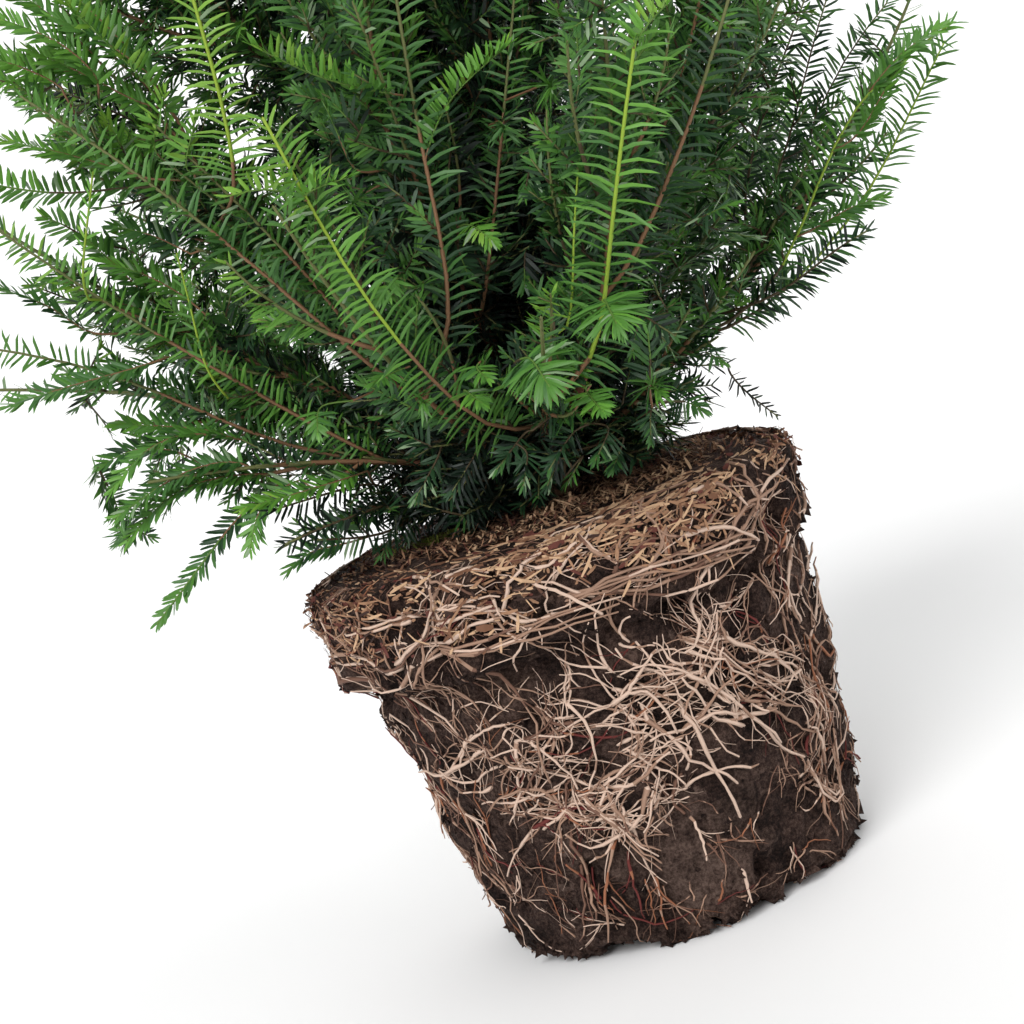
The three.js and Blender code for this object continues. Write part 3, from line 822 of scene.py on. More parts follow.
def thinned():
    """The shoots without what closes the gaps or stands before the shoots that stay in sight.

    Small shoots there go, and long ones end there."""
    front = np.array(clear)
    feet = np.array([s["path"][0] for s in shoots if s["shown"]])
    outer = np.linspace(0.2, 1.0, SHOWN_STEPS)
    kept = []
    for s in shoots:
        path = s["path"]
        spots = along(path, np.linspace(0.2, 1.0, 3) if s["fine"] else outer)
        sky = in_sky(spots)
        stays = ~(sky | hides(spots, front))
        if s["shown"] or (s["fine"] and stays.all()):
            kept.append(s)
        elif not s["fine"]:
            stays &= (np.convolve(stays, np.full(5, 0.2), "same") > 0.5) & (np.cumsum(sky) < 2)
            stays |= np.linalg.norm(spots[:, None] - feet, axis=2).min(1) < BESIDE
            if stays.any():
                s["path"] = along(path, np.linspace(0, outer[stays].max(), len(path)))
                kept.append(s)
    return kept


def growing(kept, limbs):
    """The shoots that grow on a limb, or on others that do.

    One that stays in sight reaches back to the nearest of these where it has lost its own."""
    spots, owner = [], []
    for i, path in enumerate([s["path"] for s in kept] + limbs):
        steps = max(int(length_of(path) / PATH_STEP), 3)
        spots.extend(along(path, np.linspace(0, 1, steps)))
        owner += [i] * steps
    tree = tree_of(spots)
    near = [tree.find_range(s["path"][0], JOINED) for s in kept]
    carried = [{owner[k] for _, k, _ in found} - {i} for i, found in enumerate(near)]
    spots, owner = np.array(spots), np.array(owner)
    firm = set(range(len(kept), len(kept) + len(limbs)))
    while True:
        more = {i for i in range(len(kept)) if i not in firm and carried[i] & firm}
        loose = [i for i, s in enumerate(kept) if s["shown"] and i not in firm]
        if not more and not loose:
            return [s for i, s in enumerate(kept) if i in firm]
        if not more:
            more = {loose[0]}
            s = kept[loose[0]]
            base = spots[np.isin(owner, list(firm))]
            start = base[far_from(s["path"][0], base).argmin()]
            known = length_of(s["path"])
            added = np.linalg.norm(start - s["path"][0])
            s["bare"] = (added + s["bare"] * known) / (added + known)
            s["path"] = along(np.concatenate([[start], s["path"]]), np.linspace(0, 1, SHOWN_STEPS))
        firm |= more


# ---------------------------------------------------------------- needles

BLADE_ROWS = {  # share of the length and of the width at each cross row of a blade, and its fold
    "long": (((0.12, 0.82), (0.48, 1.0), (0.84, 0.74)), True),
    "short": (((0.16, 0.92), (0.74, 0.86)), True),
    "fine": (((0.18, 0.9), (0.74, 0.86)), False),
}


def blades(base, way, face, length, width, sweep, arch, kind):
    """Needles: narrow blades, some with a raised midrib, curved in their plane and along their face."""
    side = np.cross(way, face)
    rows, folded = BLADE_ROWS[kind]

    def middle(u):
        bend = sweep[:, None] * side * u * u - arch[:, None] * face * u * u
        return base + length[:, None] * (way * u + bend)

    points = [middle(0.0)]
    for u, w in rows:
        centre = middle(u)
        half = (0.5 * w * width)[:, None]
        points.append(centre - half * side)
        if folded:
            points.append(centre + 0.22 * half * face)
        points.append(centre + half * side)
    points.append(middle(1.0))
    wide = 3 if folded else 2
    tip = 1 + wide * len(rows)
    faces = []
    for c in range(wide - 1):
        faces.append((0, 2 + c, 1 + c))
        for r in range(len(rows) - 1):
            a = 1 + wide * r + c
            faces += [(a, a + 1, a + wide + 1), (a, a + wide + 1, a + wide)]
        last = tip - wide + c
        faces.append((last, last + 1, tip))
    points = np.stack(points, axis=1)
    return points.reshape(-1, 3), copies(faces, len(base), points.shape[1]), len(faces)


TIP_REACH = 14 * MM  # needles close up over this much of a shoot's end
TONE_STEPS = np.array([0.98, 0.80, 0.61, 0.44, 0.26])  # from lime down to the shade of the inside
TURNED_UP = 0.035  # share of the needles that show their underside
UNDERSIDE = list(NEEDLE_COLOURS).index("needle_underside")
SHADED_SHARE = 0.62  # of the crown's radius, inside which its needles take darker tones as painted shade, and outside which lighter ones as painted light


def needles_of(s):
    """The needles of one shoot, as arrays."""
    habit = HABITS[s["habit"]]
    path, bare = s["path"], s["bare"]
    length = length_of(path)
    each = max(int(length * (1 - bare) / (habit.step * MM)), 2)
    n = 2 * each
    share = np.repeat((np.arange(each) + 0.5) / each, 2) + rng.normal(0, 0.14 / each, n)
    share = bare + (1 - bare) * np.clip(share, 0.01, 0.998)
    base = along(path, share)
    tangent = unit(along(path, np.minimum(share + 0.04, 1)) - along(path, np.maximum(share - 0.04, 0)))
    face = unit(s["face"] - dot(s["face"][None], tangent) * tangent)
    hand = np.tile([1.0, -1.0], each)
    rise = rng.normal(habit.rise, habit.roll, n)
    flank = np.cross(tangent, face) * hand[:, None]
    flank = flank * np.cos(rise)[:, None] + face * np.sin(rise)[:, None]
    tip = np.clip((share - (1 - TIP_REACH / length)) / (TIP_REACH / length), 0, 1)
    closing = habit.splay * ((share - bare) / (1 - bare) - 0.5)
    opening = np.radians(rng.normal(habit.opening, 6, n) - closing - 0.5 * habit.opening * tip)
    way = unit(np.cos(opening)[:, None] * tangent + np.sin(opening)[:, None] * flank)
    blade_face = turned(unit(face - dot(face, way) * way), way, rng.normal(0, 0.3, n))
    young = np.clip(1 - np.abs(share - 0.45) / 0.8, 0.5, 1)
    size = habit.length * MM * (0.7 + 0.3 * young) * (1 - 0.35 * tip) * rng.normal(1, 0.09, n)
    wide = habit.width * MM * rng.normal(1, 0.07, n) * (1 - 0.2 * tip)
    sweep = hand * rng.normal(habit.back, 0.07, n) * (1 - tip)
    arch = rng.normal(habit.arch, 0.1, n)
    made = (base, way, blade_face, size, wide, sweep, arch, needle_tones(s, share))
    if s["shown"]:
        return made
    middle = base + way * (0.5 * size)[:, None]
    stays = ~(in_sky(middle) | (False if s["fine"] else hides(middle, np.array(clear))))
    return tuple(part[stays] for part in made)


def needle_tones(s, share):
    """Which colour each needle of a shoot takes: lime at young tips, darker inside the crown, partly as
    painted shade and partly as older needles' own darker green, and lighter at its outside as painted light.
    """
    n = len(share)
    x, y, z = s["path"][4]
    crown = 0.05 + 0.20 * np.clip((0.90 - z) / 0.45, 0, 1)  # its rough radius at this height
    # where: painted shade inside the crown and painted light at its outside, with the older inner needles'
    # own darker green
    where = np.clip(math.hypot(x, y) / crown, 0, 1) - SHADED_SHARE
    if s["shown"]:
        where = max(where, 0)
    left = 0.14 * np.clip((z - 0.33) / 0.12, 0, 1) * np.clip((-x - 0.04) / 0.08, 0, 1)  # lighter tones towards the upper left
    tone_and_painted_light = HABITS[s["habit"]].light + s["light"] + 0.42 * where + left + rng.normal(0, 0.10)
    tone_and_painted_light = tone_and_painted_light + rng.normal(0, 0.06, n) + 0.26 * np.clip((share - (1 - s["fresh"])) / 0.4, 0, 1)
    tone = (tone_and_painted_light[:, None] <= TONE_STEPS).sum(1)
    return np.where(rng.random(n) < TURNED_UP * (tone < len(TONE_STEPS)), UNDERSIDE, tone)


PIECE_BANDS = 6  # the needles are joined into this many pieces, by height


def make_needles():
    leaves = plain_materials(NEEDLE_COLOURS, 0.46, 0.36, 1.2 * MM, 2, 0.25, 0.3 * MM)
    tall = sorted(s["path"][4, 2] for s in shoots)
    cuts = [tall[int(len(tall) * k / PIECE_BANDS)] for k in range(1, PIECE_BANDS)]
    batches = {}
    for s in shoots:
        band = int(np.searchsorted(cuts, s["path"][4, 2]))
        batches.setdefault((band, HABITS[s["habit"]].blade), []).append(needles_of(s))
    for band in range(PIECE_BANDS):
        shapes = []
        for kind in BLADE_ROWS:
            if (band, kind) in batches:
                *arrays, tones = (np.concatenate(a) for a in zip(*batches[band, kind]))
                points, faces, per = blades(*arrays, kind)
                shapes.append((points, faces, np.repeat(tones, per)))
        piece(f"needles_{band + 1}", joined(shapes), leaves, MASSES)


def make_twigs():
    """The stems of the shoots: lime where this year's, russet behind, brown deep in the crown."""
    lime, green, olive, russet, brown = range(len(TWIG_COLOURS))
    shapes = []
    for fine, rows, sides in ((False, 11, 4), (True, 3, 3)):
        chosen = [s for s in shoots if s["fine"] == fine]
        paths = np.array([along(s["path"], np.linspace(0, 1, rows)) for s in chosen])
        radii = np.array([np.linspace(*s["radii"], rows) for s in chosen])
        walls = np.repeat((np.arange(rows - 1) + 0.5) / (rows - 1), 2 * sides)
        share = np.concatenate([walls, [0] * sides, [1] * sides])
        fresh, light, young = np.array([(
            s["fresh"], HABITS[s["habit"]].light + s["light"],
            lime if s["habit"] in LIME_STEMS else green if s["habit"] in GREEN_STEMS else olive,
        ) for s in chosen]).T[..., None]
        tone = np.where(share > 1 - fresh, young, np.where((light > 0.42) & (not fine), russet, brown))
        shapes.append((*tubes(paths, radii, sides), tone.ravel()))
    stems = plain_materials(TWIG_COLOURS, 0.6, 0.3, 0.8 * MM, 4, 0.6, 0.4 * MM)
    piece("twigs", joined(shapes), stems, MASSES)


# ---------------------------------------------------------------- bark


TRUNK_RELIEF = (0.10, 5, 3), (0.06, 2, 4)  # as for lumps, in shares of the radius
BOUGH_RELIEF = (0.13, 3.5, 6), (0.06, 1.5, 7)
FLARE, FLARE_HEIGHT, BUTTRESSES = 0.22, 18 * MM, 5  # of the trunk's foot
THINNEST = 1.8 * MM  # a bough's least radius


def make_trunk():
    skin = skin_of("trunk")
    rows, sides = 150, 22
    z = TRUNK_FOOT + (TRUNK_TIP - TRUNK_FOOT) * np.linspace(0, 1, rows) ** 1.3
    path = trunk_line(z)
    ways = polar(np.linspace(0, 2 * math.pi, 8, endpoint=False), 1, 0)
    inner = np.clip(z, TRUNK_FOOT + 0.5 * MM, TRUNK_TIP - 0.5 * MM)
    radius = np.array([
        np.mean([reach_in(skin, (x, y, h), way, 0.03) for way in ways])
        for x, y, h in zip(path[:, 0], path[:, 1], inner)
    ])
    around = 2 * np.pi * np.arange(sides) / sides
    grid = polar(around, 11 * MM, path[:, 2:] * 0.35)
    flare = np.exp(-(z - TRUNK_FOOT) / FLARE_HEIGHT)[:, None] * FLARE * np.cos(BUTTRESSES * around + 1) ** 2
    radii = radius[:, None] * (1 + lumps(grid, *TRUNK_RELIEF) + flare)
    points, faces = tubes(path[None], radii[None], sides)
    points[:, 2] = np.maximum(points[:, 2], TRUNK_FOOT)
    bark = bark_material("bark_trunk", [(38, 26, 22), (82, 58, 45), (128, 96, 74)])
    piece("bark_trunk", (points, faces, 0), [bark], ["trunk"])


def make_boughs():
    rows, sides = 34, 10
    shares = np.array([0.35, 0.6, 0.85])  # of a bough, where its girth is measured
    around = 2 * np.pi * np.arange(sides) / sides
    paths, radii = [], []
    for bough in BOUGHS:
        marks, middle = bough_arc(bough, bough.replace("bough_", "foliage_"))
        skin = skin_of(bough)
        path = arc_points(marks, middle, np.linspace(-0.02, middle, rows))
        tangent = unit(path[-1] - path[0])
        flank = unit(np.cross(tangent, UP))
        ways = [turned(flank, tangent, a) for a in np.linspace(0, 5, 6)]
        girth = [np.mean([reach_in(skin, p, way, 0.01) for way in ways]) for p in along(path, shares)]
        slope, base = np.polyfit(shares, girth, 1)
        radius = np.maximum(base + slope * np.linspace(0, 1, rows), THINNEST)
        grid = path[:, None] * 0.6 + polar(around, 1, 0) * 4 * MM
        paths.append(path)
        radii.append(radius[:, None] * (1 + lumps(grid, *BOUGH_RELIEF)))
    bark = bark_material("bark_bough", [(62, 40, 32), (112, 72, 54), (150, 106, 84)])
    shape = (*tubes(np.array(paths), np.array(radii), sides), 0)
    piece("bark_boughs", shape, [bark], BOUGHS)


# ---------------------------------------------------------------- root ball


class Ball:
    """The root ball's surface: its radii over angle and height, and the heights of its top."""

    ANGLES, ROWS = 264, 104
    RELIEF = (3.0, 34, 1), (2.2, 13, 2), (1.8, 6, 3)  # as for lumps
    TOP_RELIEF = (2.6, 24, 21), (1.6, 9, 22), (0.8, 4, 23)
    TORN = 7 * MM, 22, 11  # the wide band's lower edge, up and down
    SUNK = 1.2  # mm: the mean face, under the frame's, as the roots lie on it
    PIT_DEPTH, LIP_HOLLOW, WORN_FOOT = 16, 3.5, 8  # mm
    NOTCH_HEIGHT, NOTCH_DEPTH = 12 * MM, 14 * MM
    DIP = -90 * MM, 36 * MM, 11 * MM, 13 * MM  # x, y, depth and width of a dip in the top

    def __init__(self):
        self.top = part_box("root_ball")[1][2]
        self.edge = self.top - 2.5 * MM
        self.theta = np.linspace(0, 2 * np.pi, self.ANGLES, endpoint=False)
        self.z = np.linspace(0.0, self.edge, self.ROWS)
        self.ring = polar(self.theta, 0.12, 0)
        self.radius = self.worn(*self.torn())
        self.cover = self.smoothed_out()

    def torn(self):
        """The frame's radii with the wide band's lower edge torn, and that edge's heights."""
        skin = skin_of("root_ball")
        probe_z = np.clip(self.z, 0.3 * MM, self.edge - 0.3 * MM)
        ways = polar(self.theta, 1, 0)
        smooth = np.array([[reach_in(skin, (0, 0, z), way, 0.3) for z in probe_z] for way in ways])
        step = np.diff(smooth, axis=1) * (self.z[1:] > 0.44 * self.top)
        lip = self.z[step.argmax(axis=1)]
        self.lip = np.mean([np.roll(lip, k) for k in range(-5, 6)], axis=0)
        lip = self.lip[:, None]
        shift = lumps(self.ring, self.TORN)[:, None] * np.exp(-(((self.z - lip) / (22 * MM)) ** 2))
        return np.array([np.interp(self.z + d, self.z, r) for d, r in zip(shift, smooth)]), lip

    def worn(self, rough, lip):
        """The radii with lumps, pits, a hollow under the band and a ragged foot."""
        place = polar(self.theta[:, None], rough, self.z)
        relief = lumps(place, *self.RELIEF)
        collar = np.exp(-(((self.z - lip - 16 * MM) / (18 * MM)) ** 2))
        pits = np.clip(noise(place, 17 * MM, 4) - 0.32 + 0.22 * collar, 0, 1) * self.PIT_DEPTH
        under = np.exp(-(((self.z - lip + 7 * MM) / (6 * MM)) ** 2)) * self.LIP_HOLLOW
        under = under * (1 + noise(place, 30 * MM, 5))
        calm = np.clip(self.z / (10 * MM), 0.3, 1) * np.clip((self.edge - self.z) / (8 * MM), 0.35, 1)
        low = np.clip(1 - self.z / (10 * MM), 0, 1)
        broken = self.WORN_FOOT * np.clip(noise(place * (1, 1, 0), 15 * MM, 6), 0, 1) * low
        radius = rough + MM * (-self.SUNK + (relief - pits - under) * calm - broken)
        notch = self.NOTCH_HEIGHT * np.clip(noise(self.ring, 11 * MM, 8) + 0.12, 0, 1)
        radius[self.z < notch[:, None]] -= self.NOTCH_DEPTH
        return radius

    def smoothed_out(self):
        """The radii with their pits bridged over, for the roots."""
        cover = self.radius
        for _ in range(5):
            cover = (np.roll(cover, 1, 0) + cover + np.roll(cover, -1, 0)) / 3
            wide = np.pad(cover, ((0, 0), (1, 1)), mode="edge")
            cover = (wide[:, :-2] + cover + wide[:, 2:]) / 3
        return np.maximum(self.radius, cover)

    def at(self, theta, z, bridged=False):
        """The surface's radius at angles and heights, or with its pits bridged over."""
        u = (np.asarray(theta) / (2 * np.pi)) % 1 * self.ANGLES
        v = np.clip(np.asarray(z) / self.edge, 0, 1) * (self.ROWS - 1)
        i, j = np.floor(u).astype(int), np.minimum(v.astype(int), self.ROWS - 2)
        f, g = u - i, v - j
        i0, i1 = i % self.ANGLES, (i + 1) % self.ANGLES
        r = self.cover if bridged else self.radius
        return (r[i0, j] * (1 - f) + r[i1, j] * f) * (1 - g) + (r[i0, j + 1] * (1 - f) + r[i1, j + 1] * f) * g

    def top_height(self, x, y):
        """The height of the soil's top face, lumpy and with a little fall to its edge."""
        reach = np.hypot(x, y)
        dome = self.top - 1.5 * MM - 1.5 * MM * np.clip((reach - 0.06) / 0.07, 0, 1) ** 2
        rough = lumps(np.stack([x, y, 0 * x], -1), *self.TOP_RELIEF)
        near = np.clip((reach - 12 * MM) / (12 * MM), 0.2, 1)
        at_x, at_y, depth, width = self.DIP
        dip = depth * np.exp(-((x - at_x) ** 2 + (y - at_y) ** 2) / width**2)
        return dome + MM * rough * near - dip


def pale_soil(points):
    """Where the compost is smeared pale and smooth: a low patch at the front and stray ones."""
    angle = np.degrees(np.arctan2(points[:, 1], points[:, 0]))
    patch = 1.3 - np.hypot((angle + 92) / 30, (points[:, 2] / MM - 46) / 30)
    return np.maximum(patch, -0.3) + lumps(points, (0.8, 16, 9), (0.3, 5, 10)) > 0.36


UNDER_RINGS, TOP_RINGS = 7, 36  # rings of points across the underside and the top face


def make_soil(ball, soil):
    n, foot, rim = ball.ANGLES, ball.radius[:, 0], ball.radius[:, -1]
    rings = [polar(ball.theta, foot * share, 0.0) for share in np.linspace(0.12, 0.97, UNDER_RINGS)]
    rings += [polar(ball.theta, ball.radius[:, j], z) for j, z in enumerate(ball.z)]
    for share in np.linspace(0.985, 0.06, TOP_RINGS):
        ring = polar(ball.theta, rim * share, ball.edge)
        blend = np.clip((0.985 - share) / 0.05, 0, 1)
        ring[:, 2] += blend * (ball.top_height(ring[:, 0], ring[:, 1]) - ball.edge)
        rings.append(ring)
    points = np.concatenate([*rings, [[0, 0, 0.0]], [[0, 0, ball.top]]])
    walls = (len(rings) - 1) * n
    which = np.concatenate([np.repeat(pale_soil(points[:walls]), 2), np.zeros(2 * n)])
    piece("soil", (points, tube_faces(len(rings), n), which), soil, ["root_ball"])


# middle as its angle in degrees and height in mm, half size in mm, count, heading and its spread in
# degrees, lengths and radii in mm, tones
FRONT_MATS = {
    "rim_left": (-140, 206, 48, 14, 34, 5, 45, (12, 38), (0.45, 1.0), "aged"),
    "rim_front": (-102, 202, 70, 16, 36, 5, 48, (18, 56), (0.55, 1.5), "pale"),
    "rim_right": (-60, 203, 66, 15, 42, 5, 55, (16, 50), (0.5, 1.4), "aged"),
    "circling": (-98, 188, 80, 6, 14, 4, 10, (50, 110), (0.9, 1.9), "tan"),
    "under_rim": (-72, 162, 85, 12, 34, 10, 60, (14, 48), (0.45, 1.1), "pale"),
    "middle_rising": (-104, 108, 56, 30, 70, 30, 26, (18, 72), (0.5, 1.35), "pale"),
    "middle_falling": (-82, 118, 62, 30, 56, -48, 26, (18, 72), (0.5, 1.4), "pale"),
    "middle_left": (-120, 98, 26, 24, 34, 20, 50, (14, 50), (0.45, 1.2), "pale"),
    "middle_low": (-110, 86, 38, 15, 36, 60, 40, (14, 46), (0.5, 1.3), "pale"),
    "right_band": (-34, 100, 20, 62, 78, 84, 32, (18, 56), (0.5, 1.2), "tan"),
    "right_front": (-60, 132, 34, 24, 38, -30, 36, (18, 56), (0.55, 1.4), "pale"),
    "left_band": (-149, 92, 17, 56, 32, 96, 22, (16, 48), (0.4, 1.0), "aged"),
    "left_top": (-132, 146, 42, 26, 40, 90, 45, (12, 42), (0.4, 0.9), "aged"),
    "low_red": (-108, 50, 20, 18, 12, -95, 12, (24, 55), (0.5, 1.1), "red"),
    "low_left": (-128, 45, 34, 28, 20, -60, 35, (10, 30), (0.35, 0.8), "aged"),
    "low_right": (-70, 44, 44, 28, 40, 66, 40, (10, 38), (0.4, 0.9), "aged"),
}
ROOT_TONES = {  # how a mat's roots share the colours, in the order of ROOT_COLOURS
    "pale": (0.58, 0.27, 0.08, 0.05, 0.02),
    "tan": (0.30, 0.44, 0.18, 0.06, 0.02),
    "aged": (0.16, 0.40, 0.34, 0.06, 0.04),
    "red": (0.08, 0.26, 0.18, 0.30, 0.18),
}
HIDDEN_TURNS, HIDDEN_FROM, HIDDEN_STEP = 8, 2, 26  # stretches of those sides, in degrees


def hidden_mats():
    """Mats for the sides that the photograph doesn't show, of the same kinds."""
    mats = []
    for k in range(HIDDEN_TURNS):
        angle = HIDDEN_FROM + HIDDEN_STEP * k
        mats.append((angle, 204, 46, 15, 28, 4, 45, (16, 52), (0.5, 1.4), "aged"))
        mats.append((angle + 9, 188, 52, 8, 8, rng.choice([-5, 5]), 10, (45, 105), (0.9, 1.9), "tan"))
        high = rng.uniform(98, 132)
        for slope in (rng.uniform(20, 50), -rng.uniform(20, 60)):
            aside = angle + rng.uniform(-8, 8)
            mats.append((aside, high, 36, 28, 18, slope, 30, (18, 60), (0.5, 1.35), "pale"))
        mats.append((angle + 12, 90, 14, 50, 12, 88, 26, (18, 54), (0.45, 1.2), ("tan", "aged")[k // 4]))
        mats.append((angle, 45, 34, 28, 17, -75, 40, (10, 42), (0.4, 1.0), ("aged", "red")[k % 2]))
    return mats


ROOT_STEPS = 10
ROOT_SIDES = 4
ROOTLETS = 1700
NEXT_TONE = np.array([1, 2, 1, 1, 3])  # what each tone weathers to
BALL_RADIUS = 120  # mm: roughly, for angles that come from distances round the ball


def streaked(tones, rows, sides):
    """A tone for each face of the roots' tubes: the root's own, with stretches of its next one."""
    drift = rng.normal(0, 1, (len(tones), rows))
    weathered = drift + np.roll(drift, 1, axis=1) > 1.5
    along_it = np.where(weathered, NEXT_TONE[tones][:, None], tones[:, None])
    ends = np.repeat(tones[:, None], 2 * sides, axis=1)
    return np.concatenate([np.repeat(along_it, 2 * sides, axis=1), ends], axis=1).ravel()


def creep(ball, theta, z, turn, size, curl, kink, lift):
    """Paths that creep over the ball's side, with their angle, height and heading at each point."""
    n, steps = lift.shape
    paths, track = np.empty((n, steps, 3)), np.empty((n, steps, 3))
    step = size / (steps - 1)
    for k in range(steps):
        r = ball.at(theta, z, bridged=True) + lift[:, k]
        paths[:, k] = polar(theta, r, z)
        track[:, k] = np.stack([theta, z, turn], -1)
        theta = theta + step * np.cos(turn) / r
        z = np.clip(z + step * np.sin(turn), 1.5 * MM, ball.edge - 0.5 * MM)
        turn = turn + curl + rng.normal(0, kink, n)
    return paths, track


def mat_roots(ball, mat):
    """The main roots of one mat: paths, radii, tracks and tones."""
    angle, high, wide, tall, count, heading, spread, lengths, girths, tones = mat
    bunch = np.repeat(np.arange(count // 3 + 1), 3)[:count]  # roots run in threes
    aside = rng.uniform(-1, 1, count)[bunch] * wide + rng.normal(0, 2.5, count)
    theta = math.radians(angle) + aside / BALL_RADIUS
    z = (high + rng.uniform(-1, 1, count)[bunch] * tall + rng.normal(0, 2.5, count)) * MM
    z = np.clip(z, 3 * MM, ball.edge - 2 * MM)
    turn = np.radians(heading + rng.normal(0, spread, count)[bunch] + rng.normal(0, 9, count))
    turn += np.pi * rng.integers(0, 2, count)
    size = (lengths[0] + (lengths[1] - lengths[0]) * rng.random(count) ** 1.4) * MM
    thick = (girths[0] + (girths[1] - girths[0]) * rng.random(count) ** 1.8) * MM
    s = np.linspace(0, 1, ROOT_STEPS)
    lift = (rng.uniform(0.0, 1.6, count) * MM + 0.5 * thick)[:, None] + np.zeros(ROOT_STEPS)
    loose = (rng.random(count) < 0.4) * rng.uniform(1, 5, count) * MM
    lift = lift + loose[:, None] * s**3 - 1.5 * MM * (1 - s) ** 4
    paths, track = creep(ball, theta, z, turn, size, rng.normal(0, 0.05, count), 0.25, lift)
    radii = thick[:, None] * (np.linspace(0.95, 0.45, ROOT_STEPS) * rng.normal(1, 0.17, lift.shape))
    return paths, radii, track, rng.choice(len(ROOT_COLOURS), count, p=ROOT_TONES[tones])


THICK_ROOT = 1.45  # mm: a shown root of this radius or more is split into strands
# roots that the photograph shows: tone, radius in mm, then the angle in degrees and the height in mm
# of their points
SHOWN_ROOTS = [
    ("tan", 1.7, (-126, 188), (-118, 186), (-111, 183), (-105, 186), (-98, 188), (-91, 186), (-86, 185)),
    ("cream", 1.4, (-124, 190), (-118, 195), (-113, 198), (-109, 197)),
    ("cream", 1.3, (-126, 198), (-120, 203), (-115, 203), (-110, 203)),
    ("cream", 1.4, (-109, 197), (-109, 207), (-105, 211), (-103, 216), (-97, 221)),
    ("cream", 1.2, (-129, 225), (-118, 221), (-115, 213)),
    ("cream", 1.2, (-119, 222), (-116, 223), (-112, 223), (-109, 219)),
    ("cream", 1.3, (-102, 218), (-100, 212), (-95, 215), (-90, 220)),
    ("cream", 1.1, (-89, 223), (-87, 212), (-84, 205)),
    ("cream", 1.4, (-101, 208), (-97, 200), (-93, 191), (-90, 182)),
    ("cream", 1.1, (-108, 196), (-104, 190), (-100, 190)),
    ("tan", 1.9, (-97, 194), (-90, 196), (-83, 195), (-74, 192), (-64, 190), (-51, 185)),
    ("cream", 1.3, (-69, 203), (-65, 203), (-58, 200), (-53, 191), (-50, 185)),
    ("tan", 1.2, (-44, 224), (-48, 212), (-46, 202), (-50, 197)),
    ("cream", 1.2, (-62, 221), (-56, 221), (-53, 214), (-51, 204)),
    ("tan", 1.3, (-89, 222), (-87, 212), (-84, 205)),
    ("cream", 0.8, (-78, 181), (-70, 176), (-62, 175), (-51, 182)),
    ("cream", 1.5, (-74, 154), (-67, 143), (-62, 128), (-57, 117), (-49, 102)),
    ("cream", 1.3, (-65, 148), (-57, 134), (-49, 124), (-43, 106)),
    ("cream", 1.1, (-77, 140), (-72, 131), (-66, 115), (-61, 98), (-54, 81)),
    ("cream", 1.3, (-91, 137), (-85, 148), (-81, 155)),
    ("cream", 1.2, (-95, 134), (-91, 139), (-83, 135), (-83, 121), (-82, 110)),
    ("cream", 1.7, (-46, 66), (-44, 45), (-38, 34), (-30, 34), (-30, 47), (-33, 63)),
    ("cream", 1.4, (-79, 126), (-77, 101), (-74, 75), (-73, 55)),
    ("tan", 1.6, (-110, 93), (-105, 80), (-102, 64), (-96, 50)),
    ("tan", 1.1, (-116, 77), (-116, 55), (-118, 28)),
    ("rust", 1.2, (-106, 66), (-112, 45), (-118, 14)),
    ("red", 0.9, (-104, 57), (-105, 38), (-106, 20)),
    ("cream", 1.0, (-85, 65), (-84, 51), (-85, 41)),
    ("cream", 1.0, (-76, 28), (-77, 11)),
    ("cream", 1.0, (-132, 135), (-125, 141), (-118, 141)),
    ("cream", 0.9, (-84, 162), (-82, 145), (-77, 123), (-76, 107)),
    ("cream", 1.1, (-105, 146), (-100, 131), (-102, 110), (-107, 96)),
    ("cream", 1.0, (-116, 129), (-111, 115), (-110, 98)),
    ("cream", 1.2, (-88, 133), (-86, 110), (-79, 92), (-71, 74)),
]


def strands():
    """The shown roots, with each thick one split into strands that part towards their ends."""
    for tone, thick, *marks in SHOWN_ROOTS:
        if thick < THICK_ROOT:
            yield tone, thick, *marks
            continue
        for k, other in enumerate((tone, "tan", "cream", "tan")):
            apart = (k - 1.5) * thick * 0.75 * (1 + 1.6 * np.linspace(0, 1, len(marks)) ** 2)
            yield other, 0.5 * thick, *((a + 0.12 * d, z + d) for (a, z), d in zip(marks, apart))


def shown_roots(ball):
    """The roots that the photograph shows: paths, radii, tracks and tones."""
    made = []
    names = list(ROOT_COLOURS)
    s = np.linspace(0, 1, ROOT_STEPS)
    for tone, thick, *marks in strands():
        spots = smoothed([(math.radians(a), z * MM, 0) for a, z in marks], ROOT_STEPS)
        reach = BALL_RADIUS * MM
        step = np.hypot(reach * (spots[1, 0] - spots[0, 0]), spots[1, 1] - spots[0, 1])
        spots[:, :2] += rng.normal(0, 0.10 * step, (ROOT_STEPS, 2)) / (reach, 1)
        theta, z = spots[:, 0], np.minimum(spots[:, 1], ball.edge - 1 * MM)
        lift = (1.6 + 0.6 * thick + 1.6 * s**3) * MM
        lift[0] = -1.0 * MM
        r = ball.at(theta, z, bridged=True) + lift
        radii = thick * MM * np.linspace(1, 0.55, ROOT_STEPS) * rng.normal(1, 0.15, ROOT_STEPS)
        heading = np.arctan2(np.gradient(z), np.gradient(theta) * r)
        track = np.stack([theta, z, heading], -1)
        made.append((polar(theta, r, z), radii, track, names.index("root_" + tone)))
    return tuple(np.array(part) for part in zip(*made))


